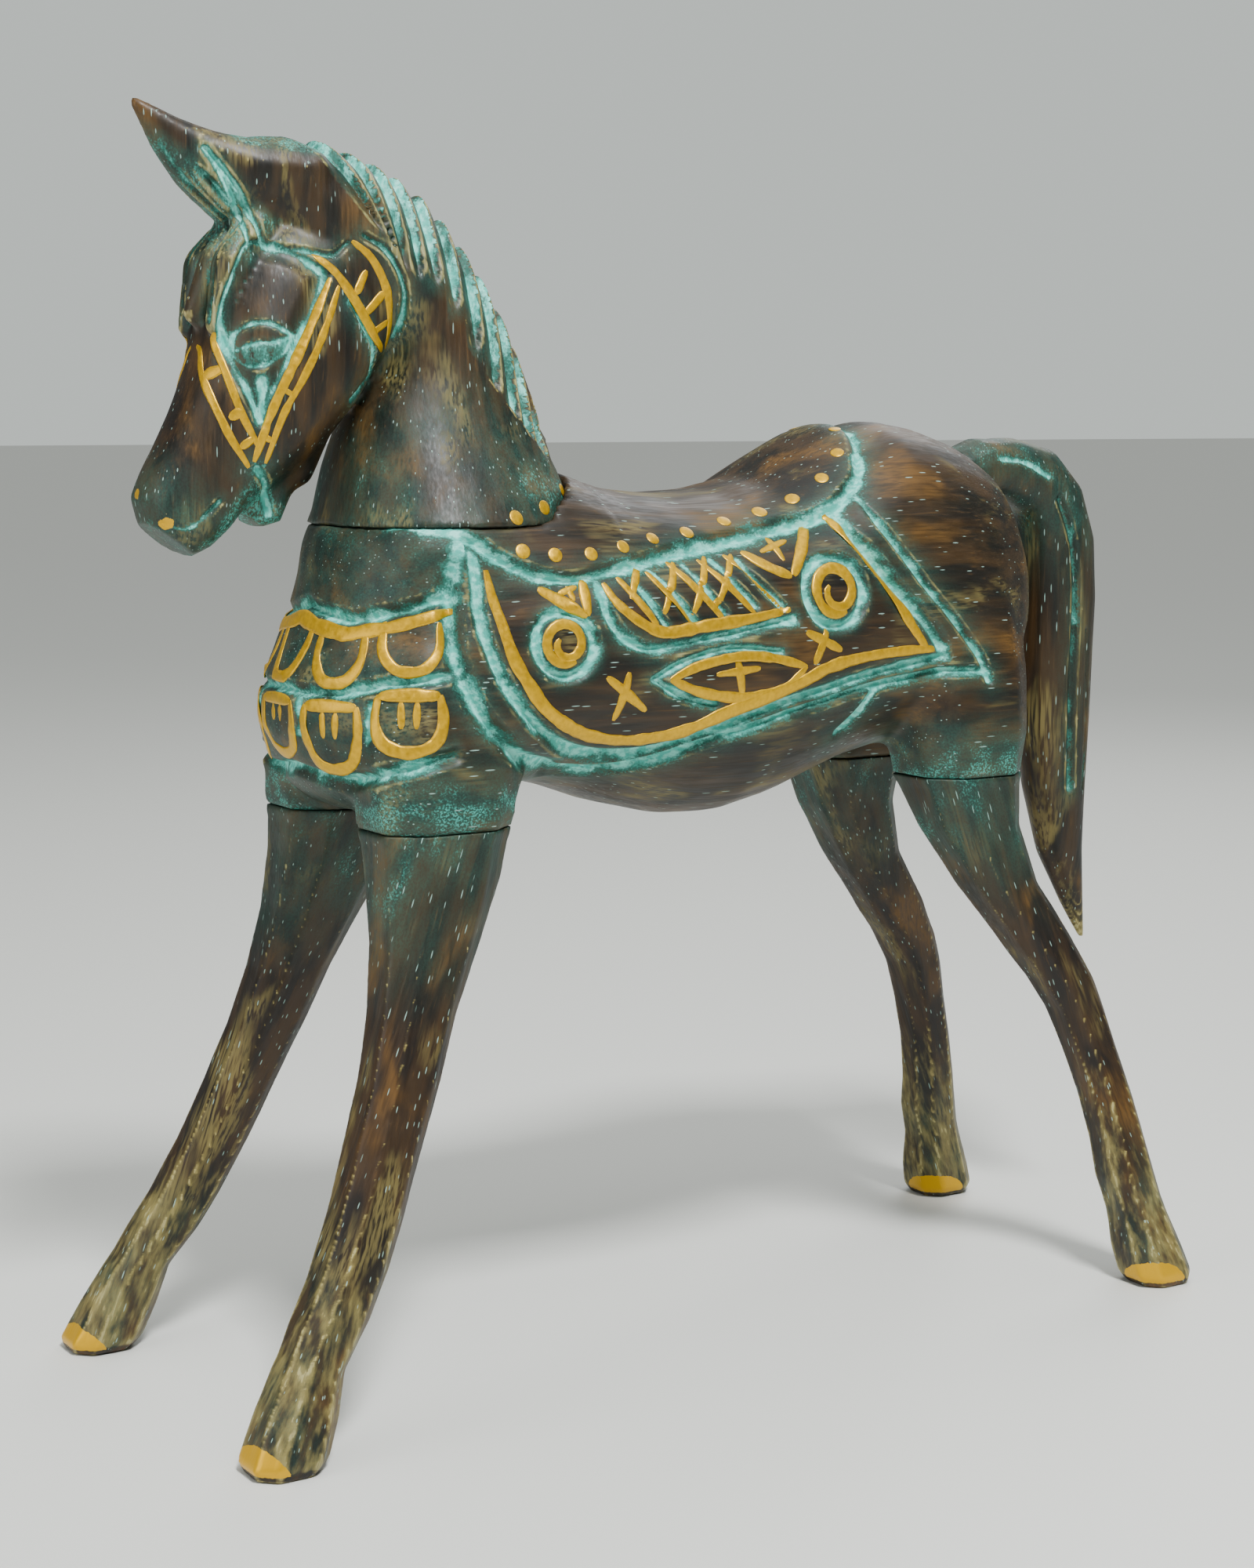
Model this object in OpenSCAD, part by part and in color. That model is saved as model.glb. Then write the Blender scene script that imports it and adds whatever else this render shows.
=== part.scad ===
// Standing carved horse: a decorative wooden figurine.
// The trunk, the neck with the head, the four legs and the tail are separate carved blocks.
// They meet at flat glue faces, and hidden dowels hold each joint.
// The nose points along -Y, the left side is +X, and the soles stand on Z = 0.

/* [Stance] */
// Height of the flat shoulder joints above the ground
leg_h = 136; // [100:1:170]
// How much higher the hip joints sit than the shoulder joints
hip_rise = 2.5; // [0:0.5:8]
// Distance between the centres of the left and right soles
foot_track = 100; // [76:1:124]
// How far the front soles stand ahead of the shoulder joints
front_reach = 54.5; // [30:0.5:66]
// How far the rear soles stand behind the hip joints
rear_reach = 53.5; // [30:0.5:66]
// How much further out the right soles stand than the left ones
stagger = 4; // [0:0.5:8]
// Width of a leg from side to side, as a share of its carved profile
leg_thickness = 1; // [0.8:0.05:1.25]

/* [Trunk] */
// Length of the trunk from chest to rump
trunk_l = 216; // [180:1:260]
// Width of the trunk at the belly
trunk_w = 83; // [68:1:100]
// Height from the shoulder joints up to the neck joint
trunk_h = 69; // [57:1:83]
// Shift of the trunk's middle towards the tail
trunk_shift = 3; // [-6:1:10]
// Distance from the chest to the middle of the shoulder joints
shoulder_inset = 28; // [24:1:36]
// Distance from the rump to the middle of the hip joints
hip_inset = 34.5; // [30:0.5:44]
// Distance between the middles of the left and right leg joints
joint_track = 50; // [42:1:60]

/* [Neck and head] */
// Length of the flat neck joint from front to back
neck_l = 58; // [48:1:70]
// Width of the flat neck joint
neck_w = 64; // [53:1:76]
// Distance from the chest to the front of the neck joint
neck_inset = 13; // [8:1:20]
// Height of the neck from its joint to the poll
neck_h = 88; // [73:1:106]
// Length of the head from the poll to the upper lip
head_l = 79; // [66:1:95]
// Width of the head across the cheeks
head_w = 36; // [30:1:44]
// Depth of the head from forehead to jaw
head_d = 42; // [35:1:50]
// Angle of the face below the horizontal
face_pitch = 54; // [46:1:62]
// How far the ear tip reaches above the poll
ear_rise = 7; // [2:0.5:14]
// Width of the ears across their root
ear_w = 28; // [22:1:34]
// Number of carved mane locks on each side
mane_locks = 11; // [6:1:14]
// Half thickness of a mane lock at the crest
lock_r = 2.6; // [1.8:0.1:3.2]

/* [Tail] */
// Drop from the tail's joint to its tip
tail_drop = 131; // [105:1:160]
// How far the tail's tip stands behind its joint
tail_reach = 45; // [38:1:56]
// Depth of the tail from front to back where it is thickest
tail_d = 23; // [18:1:28]
// Width of the tail where it is thickest
tail_w = 19; // [15:1:23]
// Distance of the tail's joint from the rump's end
tail_inset = 13; // [9:0.5:18]
// Slope of the tail's glue face
tail_slope = 45; // [35:1:55]
// Depth of the tail's seat below the top line of the rump
tail_seat = 1.2; // [0.8:0.1:2.5]

/* [Dowels] */
// Diameter of the neck and leg dowels
dowel_d = 8; // [5:0.5:9]
// Diameter of the tail dowel
tail_dowel_d = 5; // [4:0.5:6]
// Depth that each dowel reaches into a block
dowel_depth = 14; // [9:0.5:18]
// Depth that the tail dowel reaches into the thin root of the tail
tail_dowel_depth = 7.5; // [5:0.5:8.5]
// Gap for glue all round a dowel
glue_gap = 0.15; // [0.05:0.05:0.3]
// Space left at each blind end of a dowel bore
end_gap = 1; // [0.5:0.5:3]
// Distance between the two neck dowels
neck_dowel_pitch = 24; // [18:1:30]

/* [Hidden] */

wood = "#3b2a1e";
wood_light = "#4a3a28";
dowel_wood = "#c9a877";

// How square a carved ring is: 2 is a true ellipse
round_corner = 2;
carved_corner = 2.2;
square_corner = 2.5;

body_facets = 32;
head_facets = 20;
lock_facets = 6;
tail_facets = 16;
dowel_facets = 48;

chest_y = trunk_shift - trunk_l / 2;
rump_y = trunk_shift + trunk_l / 2;
shoulder = [joint_track / 2, chest_y + shoulder_inset, leg_h];
hip = [joint_track / 2, rump_y - hip_inset, leg_h + hip_rise];
neck_z = leg_h + trunk_h;
neck_front_y = chest_y + neck_inset;
neck_mid_y = neck_front_y + neck_l / 2;
poll_z = neck_z + neck_h;

// ---- Rings and lofts -------------------------------------------------------

// A point on a squared-off unit circle: a corner value of 2 is a true circle
function soft_power(v, corner) = sign(v) * pow(abs(v), 2 / corner);
function unit_point(turn, corner) = [soft_power(cos(turn), corner), soft_power(sin(turn), corner)];

// A ring across X and a second direction that lean turns from +Y towards +Z.
// narrow makes the far side of the ring wider than the near side.
function ring(centre, half_x, half_v, lean, corner, facets, narrow = 0) = [
    for (i = [0 : facets - 1])
        let (p = unit_point(360 * (i + 0.5) / facets, corner))
        centre + [
            half_x * p[0] * (1 + narrow * p[1]),
            half_v * p[1] * cos(lean),
            half_v * p[1] * sin(lean)
        ]
];

// A knife-cut ring of eight flats, level with the ground
function cut_ring(centre, half_x, half_y, flat = 0.52) = [
    for (c = [[1, flat], [flat, 1], [-flat, 1], [-1, flat], [-1, -flat], [-flat, -1], [flat, -1], [1, -flat]])
        centre + [half_x * c[0], half_y * c[1], 0]
];

// A closed skin over rings that all have the same number of points
module loft(rings, inside_out = false) {
    n = len(rings[0]);
    last = len(rings) - 1;
    sides = [
        for (r = [0 : last - 1], i = [0 : n - 1])
            let (a = r * n + i, b = r * n + (i + 1) % n)
            each [[a, a + n, b], [b, a + n, b + n]]
    ];
    caps = [
        [for (i = [0 : n - 1]) i],
        [for (i = [n - 1 : -1 : 0]) last * n + i]
    ];
    faces = concat(sides, caps);
    points = [for (r = rings) each r];
    polyhedron(points, inside_out ? [for (f = faces) [for (i = [len(f) - 1 : -1 : 0]) f[i]]] : faces);
}

// ---- Trunk -----------------------------------------------------------------

// Along the trunk, each as a share of its size: distance, back height, belly height, width,
// height of the widest place, and how square the upper half is
trunk_stations = [
    [0.00, 0.48, 0.30, 0.26, 0.39, 2.0], [0.02, 0.60, 0.16, 0.49, 0.36, 1.8],
    [0.04, 0.77, 0.08, 0.64, 0.35, 1.7], [0.07, 1.01, 0.03, 0.77, 0.35, 1.6],
    [0.10, 1.21, 0.02, 0.86, 0.35, 1.65], [0.15, 1.31, 0.03, 0.94, 0.38, 1.8],
    [0.22, 1.31, 0.07, 0.97, 0.42, 1.95], [0.28, 1.25, 0.09, 0.99, 0.48, 2.1],
    [0.33, 1.18, 0.05, 1.00, 0.52, 2.2], [0.39, 1.12, -0.02, 1.00, 0.52, 2.25],
    [0.46, 1.10, -0.07, 1.00, 0.52, 2.25], [0.53, 1.11, -0.08, 0.99, 0.52, 2.25],
    [0.59, 1.15, -0.04, 0.97, 0.54, 2.2], [0.65, 1.26, 0.03, 0.95, 0.56, 2.2],
    [0.70, 1.34, 0.08, 0.93, 0.58, 2.2], [0.77, 1.36, 0.13, 0.92, 0.60, 2.2],
    [0.83, 1.33, 0.16, 0.89, 0.60, 2.2], [0.88, 1.28, 0.20, 0.83, 0.60, 2.2],
    [0.93, 1.19, 0.28, 0.69, 0.62, 2.2], [0.97, 1.06, 0.39, 0.48, 0.66, 2.2],
    [0.99, 0.93, 0.51, 0.29, 0.69, 2.2], [1.00, 0.82, 0.61, 0.14, 0.71, 2.2]
];

function trunk_ring(station) =
    let (
        y = chest_y + station[0] * trunk_l,
        top = leg_h + station[1] * trunk_h,
        bottom = leg_h + station[2] * trunk_h,
        middle = leg_h + station[4] * trunk_h
    )
    [
        for (i = [0 : body_facets - 1])
            let (
                turn = 360 * (i + 0.5) / body_facets,
                p = unit_point(turn, turn < 180 ? station[5] : carved_corner)
            )
            [
                station[3] * trunk_w / 2 * p[0],
                y,
                middle + (p[1] > 0 ? top - middle : middle - bottom) * p[1]
            ]
    ];

// Above a leg joint: rise, shift in Y, shift in X, half depth and half width of the block
shoulder_stations = [
    [0, 0, 0, 16.5, 13.5], [10, 1, -0.5, 19, 14.5], [24, 3, -3, 21.5, 16],
    [40, 6, -7, 23, 17], [54, 9, -11, 18, 14], [62, 11, -14, 9, 8]
];
haunch_stations = [
    [0, 0, 0, 15.5, 14], [11, 0, -0.5, 18, 15], [26, -1, -3, 20, 16.5],
    [42, -3, -6, 21, 17], [56, -5, -10, 18, 15], [66, -6, -13, 9, 9]
];

module leg_stub(joint, stations) {
    loft([
        for (s = stations)
            cut_ring(joint + [s[2], s[1], s[0]], s[4] * leg_thickness, s[3])
    ]);
}

// The blocks are as wide as the widest place carved from them
stub_edge = max(
    shoulder[0] + leg_thickness * max([for (s = shoulder_stations) s[4] + s[2]]),
    hip[0] + leg_thickness * max([for (s = haunch_stations) s[4] + s[2]])
);
trunk_block_w = max(trunk_w, 2 * stub_edge);

// The slanted seat that the tail is glued into lies just under the top line of the rump
function back_height(share) = trunk_h * lookup(share, [for (s = trunk_stations) [s[0], s[1]]]);
tail_joint = [0, rump_y - tail_inset, leg_h + back_height(1 - tail_inset / trunk_l) - tail_seat];
seat_gap = 0.4;

module tail_frame() {
    translate(tail_joint)
        rotate([-tail_slope, 0, 0])
            children();
}

module trunk_block() {
    resize([trunk_block_w, 0, 0])
        difference() {
            union() {
                loft([for (s = trunk_stations) trunk_ring(s)], true);
                for (side = [0, 1])
                    mirror([side, 0, 0]) {
                        leg_stub(shoulder, shoulder_stations);
                        leg_stub(hip, haunch_stations);
                    }
            }
            translate([0, 0, neck_z])
                linear_extrude(trunk_h)
                    offset(delta = seat_gap)
                        polygon([for (q = neck_ring(neck_stations[0])) [q[0], q[1]]]);
            tail_frame()
                linear_extrude(trunk_h)
                    scale([tail_stations[0][4] * tail_w + seat_gap, tail_stations[0][3] * tail_d + seat_gap])
                        circle(r = 1, $fn = body_facets);
        }
}

// ---- Dowels and their bores ------------------------------------------------

module dowel(d, below, above) {
    translate([0, 0, -below])
        cylinder(h = below + above, d = d, $fn = dowel_facets);
}

module dowel_bore(d, below, above) {
    dowel(d + 2 * glue_gap, below + end_gap, above + end_gap);
}

module tail_dowel_bore() {
    tail_frame()
        dowel_bore(tail_dowel_d, dowel_depth, tail_dowel_depth);
}

module at_neck_dowel(end) {
    translate([0, neck_mid_y + end * neck_dowel_pitch / 2, neck_z])
        children();
}

module at_leg_dowel(joint, side) {
    translate([side * joint[0], joint[1], joint[2]])
        children();
}

module trunk() {
    color(wood)
        difference() {
            trunk_block();
            for (end = [-1, 1])
                at_neck_dowel(end)
                    dowel_bore(dowel_d, dowel_depth, dowel_depth);
            for (joint = [shoulder, hip], side = [-1, 1])
                at_leg_dowel(joint, side)
                    dowel_bore(dowel_d, dowel_depth, dowel_depth);
            tail_dowel_bore();
        }
}

// ---- Neck and head ---------------------------------------------------------

// Up the neck, each as a share: height, middle (of the joint's length, towards the nose),
// half length and half width
neck_stations = [
    [0.00, 0.00, 0.50, 0.50], [0.07, -0.005, 0.485, 0.455], [0.15, 0.01, 0.45, 0.40],
    [0.23, 0.01, 0.415, 0.35], [0.31, 0.00, 0.38, 0.31], [0.40, -0.015, 0.31, 0.285],
    [0.48, -0.01, 0.265, 0.275], [0.57, 0.08, 0.29, 0.265], [0.66, 0.215, 0.345, 0.26],
    [0.75, 0.345, 0.38, 0.245], [0.84, 0.465, 0.385, 0.23], [0.92, 0.565, 0.35, 0.20],
    [0.975, 0.655, 0.24, 0.14], [1.00, 0.66, 0.14, 0.06]
];

function neck_ring(s) = ring(
    [0, neck_mid_y - s[1] * neck_l, neck_z + s[0] * neck_h],
    s[3] * neck_w, s[2] * neck_l, 0, carved_corner, body_facets
);

// The head's own line runs from the poll towards the lips
poll_ahead = 0.43 * neck_l;
poll_below = 0.29 * neck_h;
head_start = [0, neck_mid_y - poll_ahead, poll_z - poll_below];
head_along = [0, -cos(face_pitch), -sin(face_pitch)];
head_front = [0, -sin(face_pitch), cos(face_pitch)];
// A place in the head: s along the face, v towards the forehead, x to the left
function in_head(s, v, x = 0) = head_start + s * head_l * head_along + v * head_d * head_front + [x * head_w, 0, 0];

// Down the head, each as a share: distance, forehead, jaw and width
head_stations = [
    [-0.07, 0.24, -0.33, 0.25], [0.00, 0.40, -0.45, 0.37], [0.10, 0.50, -0.50, 0.44],
    [0.22, 0.52, -0.51, 0.48], [0.35, 0.48, -0.51, 0.50], [0.47, 0.40, -0.49, 0.48],
    [0.58, 0.33, -0.45, 0.44], [0.68, 0.285, -0.39, 0.39], [0.78, 0.26, -0.32, 0.345],
    [0.87, 0.245, -0.30, 0.315], [0.94, 0.215, -0.27, 0.29], [0.99, 0.10, -0.22, 0.21]
];

// The forehead is a little narrower than the cheeks
forehead_taper = -0.12;

function head_ring(s) = ring(
    in_head(s[0], (s[1] + s[2]) / 2),
    s[3] * head_w, (s[1] - s[2]) / 2 * head_d, face_pitch + 90, square_corner, head_facets, forehead_taper
);

// The lower jaw: distance, upper face, lower face and width, each as a share
jaw_stations = [
    [0.30, -0.20, -0.48, 0.24], [0.50, -0.24, -0.52, 0.26], [0.61, -0.26, -0.56, 0.25],
    [0.66, -0.27, -0.50, 0.22], [0.75, -0.31, -0.54, 0.20], [0.80, -0.35, -0.46, 0.15]
];

// Both ears rise as one peak: place ahead of the poll, centre below the tip's line, half height,
// share of the root's width, lean
ear_reach = 0.78 * neck_l;
ear_tip_y = neck_front_y - ear_reach;
ear_top_taper = 0.3;
ear_stations = [
    [0.20, -18, 11, 0.50, 66], [0.50, -17, 10.8, 0.41, 57], [0.70, -12.8, 7.6, 0.27, 56],
    [0.85, -7.5, 4.4, 0.16, 54], [1.00, -0.6, 0.8, 0.03, 50]
];

function ear_ring(s) = ring(
    [
        0,
        head_start[1] + s[0] * (ear_tip_y - head_start[1]),
        poll_z + s[1] + ear_rise
    ],
    s[3] * ear_w, s[2], s[4], square_corner, lock_facets * 2, ear_top_taper
);

// Forelock: where each lock's tip lies in the head, and how thick a lock is
forelock_tips = [[0.42, 0.49, 0.00], [0.43, 0.42, 0.22], [0.43, 0.42, -0.22], [0.28, 0.54, 0.00]];
forelock_r = 0.13 * head_w;
forelock_tip_r = 0.07 * head_w;
// The locks leave the poll together and swell over the forehead
forelock_root = 0.05;
forelock_swell = 0.6;

module forelock_ball(place, r) {
    translate(place)
        sphere(r = r, $fn = lock_facets * 2);
}

module forelock_lock(tip) {
    hull() {
        forelock_ball(in_head(forelock_root, 0.50, tip[2] / 2), forelock_r);
        forelock_ball(in_head(tip[0] * forelock_swell, 0.53, tip[2]), forelock_r);
        forelock_ball(in_head(tip[0], tip[1], tip[2]), forelock_tip_r);
    }
}

// A place on the neck's skin at a share t of its height, turned by an angle away from the crest
function neck_value(t, column) = lookup(t, [for (s = neck_stations) [s[0], s[column]]]);
function neck_skin(t, turn, side) =
    let (p = unit_point(90 - turn, carved_corner))
    [
        side * neck_value(t, 3) * neck_w * p[0],
        neck_mid_y + (neck_value(t, 2) * p[1] - neck_value(t, 1)) * neck_l,
        neck_z + t * neck_h
    ];

// A lock leaves the crest, falls down the side of the neck and thins towards its end
lock_fall = 0.42;
lock_start_turn = 10;
lock_turn = 48;
lock_thinning = 0.72;
lock_depth = 1.3;
lock_rings = 5;
// The first and the last lock, as shares of the neck's height
mane_from = 0.27;
mane_to = 0.94;

module mane_lock(t, side) {
    loft([
        for (k = [0 : lock_rings - 1])
            let (
                share = k / (lock_rings - 1),
                thick = lock_r * (1 - lock_thinning * share * share)
            )
            ring(
                neck_skin(t * (1 - lock_fall * share), lock_start_turn + lock_turn * share, side),
                thick, thick * lock_depth, 0, round_corner, lock_facets
            )
    ], true);
}

module neck_and_head_block() {
    resize([max(neck_w, head_w), 0, 0])
        union() {
            loft([for (s = neck_stations) neck_ring(s)]);
            loft([for (s = head_stations) head_ring(s)]);
            loft([
                for (s = jaw_stations)
                    ring(
                        in_head(s[0], (s[1] + s[2]) / 2), s[3] * head_w,
                        (s[1] - s[2]) / 2 * head_d, face_pitch + 90, square_corner, head_facets
                    )
            ]);
            loft([for (s = ear_stations) ear_ring(s)]);
            for (tip = forelock_tips)
                forelock_lock(tip);
            for (i = [0 : mane_locks - 1], side = [-1, 1])
                mane_lock(mane_from + (mane_to - mane_from) * i / (mane_locks - 1), side);
        }
}

module neck_and_head() {
    color(wood_light)
        difference() {
            neck_and_head_block();
            for (end = [-1, 1])
                at_neck_dowel(end)
                    dowel_bore(dowel_d, dowel_depth, dowel_depth);
        }
}

// ---- Legs ------------------------------------------------------------------

// Down a leg from its joint: height share, reach share, splay share, half depth, half width
front_leg_stations = [
    [1.00, 0.00, 0.00, 16.5, 13.5], [0.92, 0.025, 0.06, 15, 12], [0.81, 0.10, 0.18, 12, 10.2],
    [0.70, 0.195, 0.30, 9.7, 9], [0.59, 0.29, 0.41, 8.9, 8.3], [0.48, 0.405, 0.52, 8.5, 7.9],
    [0.38, 0.51, 0.62, 8.4, 7.7], [0.29, 0.62, 0.71, 8.4, 7.6], [0.22, 0.725, 0.78, 8.6, 7.6],
    [0.18, 0.79, 0.82, 8.0, 7.4], [0.15, 0.845, 0.85, 7.7, 7.4], [0.08, 0.92, 0.92, 9.0, 8.4],
    [0.02, 0.99, 0.98, 9.4, 8.8], [0.00, 1.00, 1.00, 7.6, 7.2]
];
rear_leg_stations = [
    [1.00, 0.00, 0.00, 15.5, 14], [0.90, 0.05, 0.09, 12.3, 11.4], [0.79, 0.19, 0.20, 10, 9.6],
    [0.68, 0.40, 0.31, 9.3, 8.6], [0.60, 0.54, 0.40, 8.2, 7.9], [0.54, 0.62, 0.46, 7.2, 7.3],
    [0.46, 0.69, 0.54, 6.6, 6.9], [0.37, 0.765, 0.63, 6.5, 6.8], [0.28, 0.82, 0.72, 6.9, 6.9],
    [0.21, 0.85, 0.79, 7.5, 7.2], [0.17, 0.88, 0.83, 7.3, 7.1], [0.14, 0.905, 0.86, 7.4, 7.3],
    [0.07, 0.95, 0.93, 8.9, 8.3], [0.02, 0.99, 0.98, 9.2, 8.6], [0.00, 1.00, 1.00, 7.4, 7]
];

module leg(joint, stations, reach, side) {
    splay = foot_track / 2 - joint[0];
    color(wood)
        difference() {
            mirror([side > 0 ? 0 : 1, 0, 0])
                loft([
                    for (s = stations)
                        cut_ring(
                            [joint[0] + s[2] * splay, joint[1] + s[1] * reach, s[0] * joint[2]],
                            s[4] * leg_thickness, s[3]
                        )
                ], true);
            at_leg_dowel(joint, side)
                dowel_bore(dowel_d, dowel_depth, dowel_depth);
        }
}

module front_left_leg() { leg(shoulder, front_leg_stations, stagger / 2 - front_reach, 1); }
module front_right_leg() { leg(shoulder, front_leg_stations, -stagger / 2 - front_reach, -1); }
module rear_left_leg() { leg(hip, rear_leg_stations, rear_reach - stagger / 2, 1); }
module rear_right_leg() { leg(hip, rear_leg_stations, rear_reach + stagger / 2, -1); }

// ---- Tail ------------------------------------------------------------------

// Along the tail from its glue face: distance back, drop, lean of the cut, depth and width
tail_stations = [
    [0.00, 0.00, 135, 0.40, 0.42], [0.14, -0.012, 118, 0.40, 0.43], [0.34, -0.005, 92, 0.41, 0.45],
    [0.52, 0.015, 62, 0.43, 0.47], [0.64, 0.065, 32, 0.46, 0.49], [0.71, 0.15, 12, 0.49, 0.50],
    [0.72, 0.26, 2, 0.50, 0.50], [0.71, 0.40, 0, 0.50, 0.49], [0.71, 0.54, 0, 0.47, 0.46],
    [0.73, 0.66, 0, 0.41, 0.40], [0.79, 0.80, 0, 0.30, 0.30], [0.89, 0.91, 0, 0.16, 0.18],
    [0.99, 1.00, 0, 0.04, 0.06]
];

module tail() {
    color(wood)
        difference() {
            loft([
                for (s = tail_stations)
                    ring(
                        tail_joint + [0, s[0] * tail_reach, -s[1] * tail_drop],
                        s[4] * tail_w, s[3] * tail_d, s[2], carved_corner, tail_facets
                    )
            ], true);
            tail_dowel_bore();
        }
}

// ---- Dowel pieces ----------------------------------------------------------

module neck_dowel_front() { color(dowel_wood) at_neck_dowel(-1) dowel(dowel_d, dowel_depth, dowel_depth); }
module neck_dowel_rear() { color(dowel_wood) at_neck_dowel(1) dowel(dowel_d, dowel_depth, dowel_depth); }
module tail_dowel() { color(dowel_wood) tail_frame() dowel(tail_dowel_d, dowel_depth, tail_dowel_depth); }
module front_left_dowel() { color(dowel_wood) at_leg_dowel(shoulder, 1) dowel(dowel_d, dowel_depth, dowel_depth); }
module front_right_dowel() { color(dowel_wood) at_leg_dowel(shoulder, -1) dowel(dowel_d, dowel_depth, dowel_depth); }
module rear_left_dowel() { color(dowel_wood) at_leg_dowel(hip, 1) dowel(dowel_d, dowel_depth, dowel_depth); }
module rear_right_dowel() { color(dowel_wood) at_leg_dowel(hip, -1) dowel(dowel_d, dowel_depth, dowel_depth); }

trunk();
neck_and_head();
tail();
front_left_leg();
front_right_leg();
rear_left_leg();
rear_right_leg();
neck_dowel_front();
neck_dowel_rear();
tail_dowel();
front_left_dowel();
front_right_dowel();
rear_left_dowel();
rear_right_dowel();
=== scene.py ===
# %% [markdown]
# # A carved wooden horse
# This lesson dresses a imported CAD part: a standing horse glued up from seven carved wooden blocks.
# The CAD gives every block its place and its size. Here each block gets what the carver's gouge and
# the painter's brush did to it: grooves, a saddle, a blanket, a mane, turquoise wash and gold lines.
# Everything is in the CAD's own frame: the nose points along -Y, the left side is +X, Z is up.

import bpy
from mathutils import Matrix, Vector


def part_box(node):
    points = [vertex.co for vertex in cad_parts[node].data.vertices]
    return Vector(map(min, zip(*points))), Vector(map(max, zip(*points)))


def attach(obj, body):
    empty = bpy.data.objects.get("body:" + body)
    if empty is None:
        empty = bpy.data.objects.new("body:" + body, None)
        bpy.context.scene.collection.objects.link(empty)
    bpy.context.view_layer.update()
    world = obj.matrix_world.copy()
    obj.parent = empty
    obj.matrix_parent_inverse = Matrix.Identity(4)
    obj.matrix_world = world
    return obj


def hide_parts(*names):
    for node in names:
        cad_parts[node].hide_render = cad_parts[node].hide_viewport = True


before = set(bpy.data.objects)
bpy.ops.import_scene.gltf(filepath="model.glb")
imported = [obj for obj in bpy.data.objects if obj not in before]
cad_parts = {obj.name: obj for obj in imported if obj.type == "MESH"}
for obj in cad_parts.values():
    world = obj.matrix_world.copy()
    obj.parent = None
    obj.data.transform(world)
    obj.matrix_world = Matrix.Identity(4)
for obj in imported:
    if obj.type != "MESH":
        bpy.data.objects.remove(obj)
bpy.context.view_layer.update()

import itertools
import math

import bmesh
import bpy
import numpy as np
from mathutils import Vector

MM = 0.001
NO_GOLD = -9.0  # far outside any gold patch

# %% [markdown]
# ## Helpers for drawing on the wood
# A carver draws on the block before cutting it. The drawing is flat: points in millimetres, joined
# by a smooth line. Each point of the wood asks how far it is from that line. These few functions
# are all that the grooves, the wash and the gold need.

# %% Smooth lines and distances
def smooth_step(value, low, high):
    """0 below low, 1 above high, and a soft change between them."""
    t = np.clip((value - low) / (high - low), 0, 1)
    return t * t * (3 - 2 * t)


def flow(points, step=1.5):
    """A smooth line through the given points, with a point about every step mm."""
    p = np.array(points, float)
    p = np.vstack([2 * p[0] - p[1], p, 2 * p[-1] - p[-2]])
    out = []
    for i in range(1, len(p) - 2):
        count = max(1, int(np.linalg.norm(p[i + 1] - p[i]) / step))
        t = np.arange(count)[:, None] / count
        a, b, c, d = p[i - 1], p[i], p[i + 1], p[i + 2]
        out.append(0.5 * (
            2 * b + (c - a) * t + (2 * a - 5 * b + 4 * c - d) * t**2 + (3 * b - a - 3 * c + d) * t**3
        ))
    return np.vstack(out + [p[-2:-1]])


def line_distance(flat, line, reach):
    """Distance from each point of the drawing to a line, never more than reach."""
    low, high = line.min(0) - reach, line.max(0) + reach
    near = np.flatnonzero(((flat > low) & (flat < high)).all(1))
    p, best = flat[near], np.full(len(near), float(reach))
    for a, b in zip(line[:-1], line[1:]):
        ab = b - a
        t = np.clip(((p - a) @ ab) / max(ab @ ab, 1e-9), 0, 1)
        best = np.minimum(best, np.linalg.norm(p - a - t[:, None] * ab, axis=1))
    away = np.full(len(flat), float(reach))
    away[near] = best
    return away


def beside(flat, strokes, margin):
    """True for the points of the drawing that lie on a stroke or within margin mm of one."""
    near = np.zeros(len(flat), bool)
    for line, width, *_ in strokes:
        reach = width / 2 + margin
        near |= line_distance(flat, line, reach) < reach
    return near


def inside(flat, outline):
    """True for the points of the drawing that lie inside a closed outline."""
    x, y = flat.T
    odd = np.zeros(len(flat), bool)
    for (x0, y0), (x1, y1) in zip(outline, np.roll(outline, -1, axis=0)):
        if y0 != y1:
            odd ^= ((y0 > y) != (y1 > y)) & (x < x0 + (y - y0) * (x1 - x0) / (y1 - y0))
    return odd


def lumps(place, size, seed):
    """Soft noise from -1 to 1 with lumps of about size mm, the same in every run."""
    q = place / np.array(size, float) + 13.7 * seed
    cell = np.floor(q).astype(np.int64)
    f = q - cell
    f = f * f * (3 - 2 * f)
    total = np.zeros(len(place))
    for corner in itertools.product((0, 1), repeat=3):
        k = cell + corner
        mixed = (k[:, 0] * 73856093) ^ (k[:, 1] * 19349663) ^ (k[:, 2] * 83492791)
        mixed = (mixed * (mixed * mixed * 15731 + 789221) + 1376312589) & 0x7FFFFFFF
        share = np.prod(np.where(corner, f, 1 - f), axis=1)
        total += share * (mixed / 0x3FFFFFFF - 1)
    return total


print("a smooth line through 3 points has", len(flow([(0, 0), (10, 5), (20, 0)])), "points")

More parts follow.
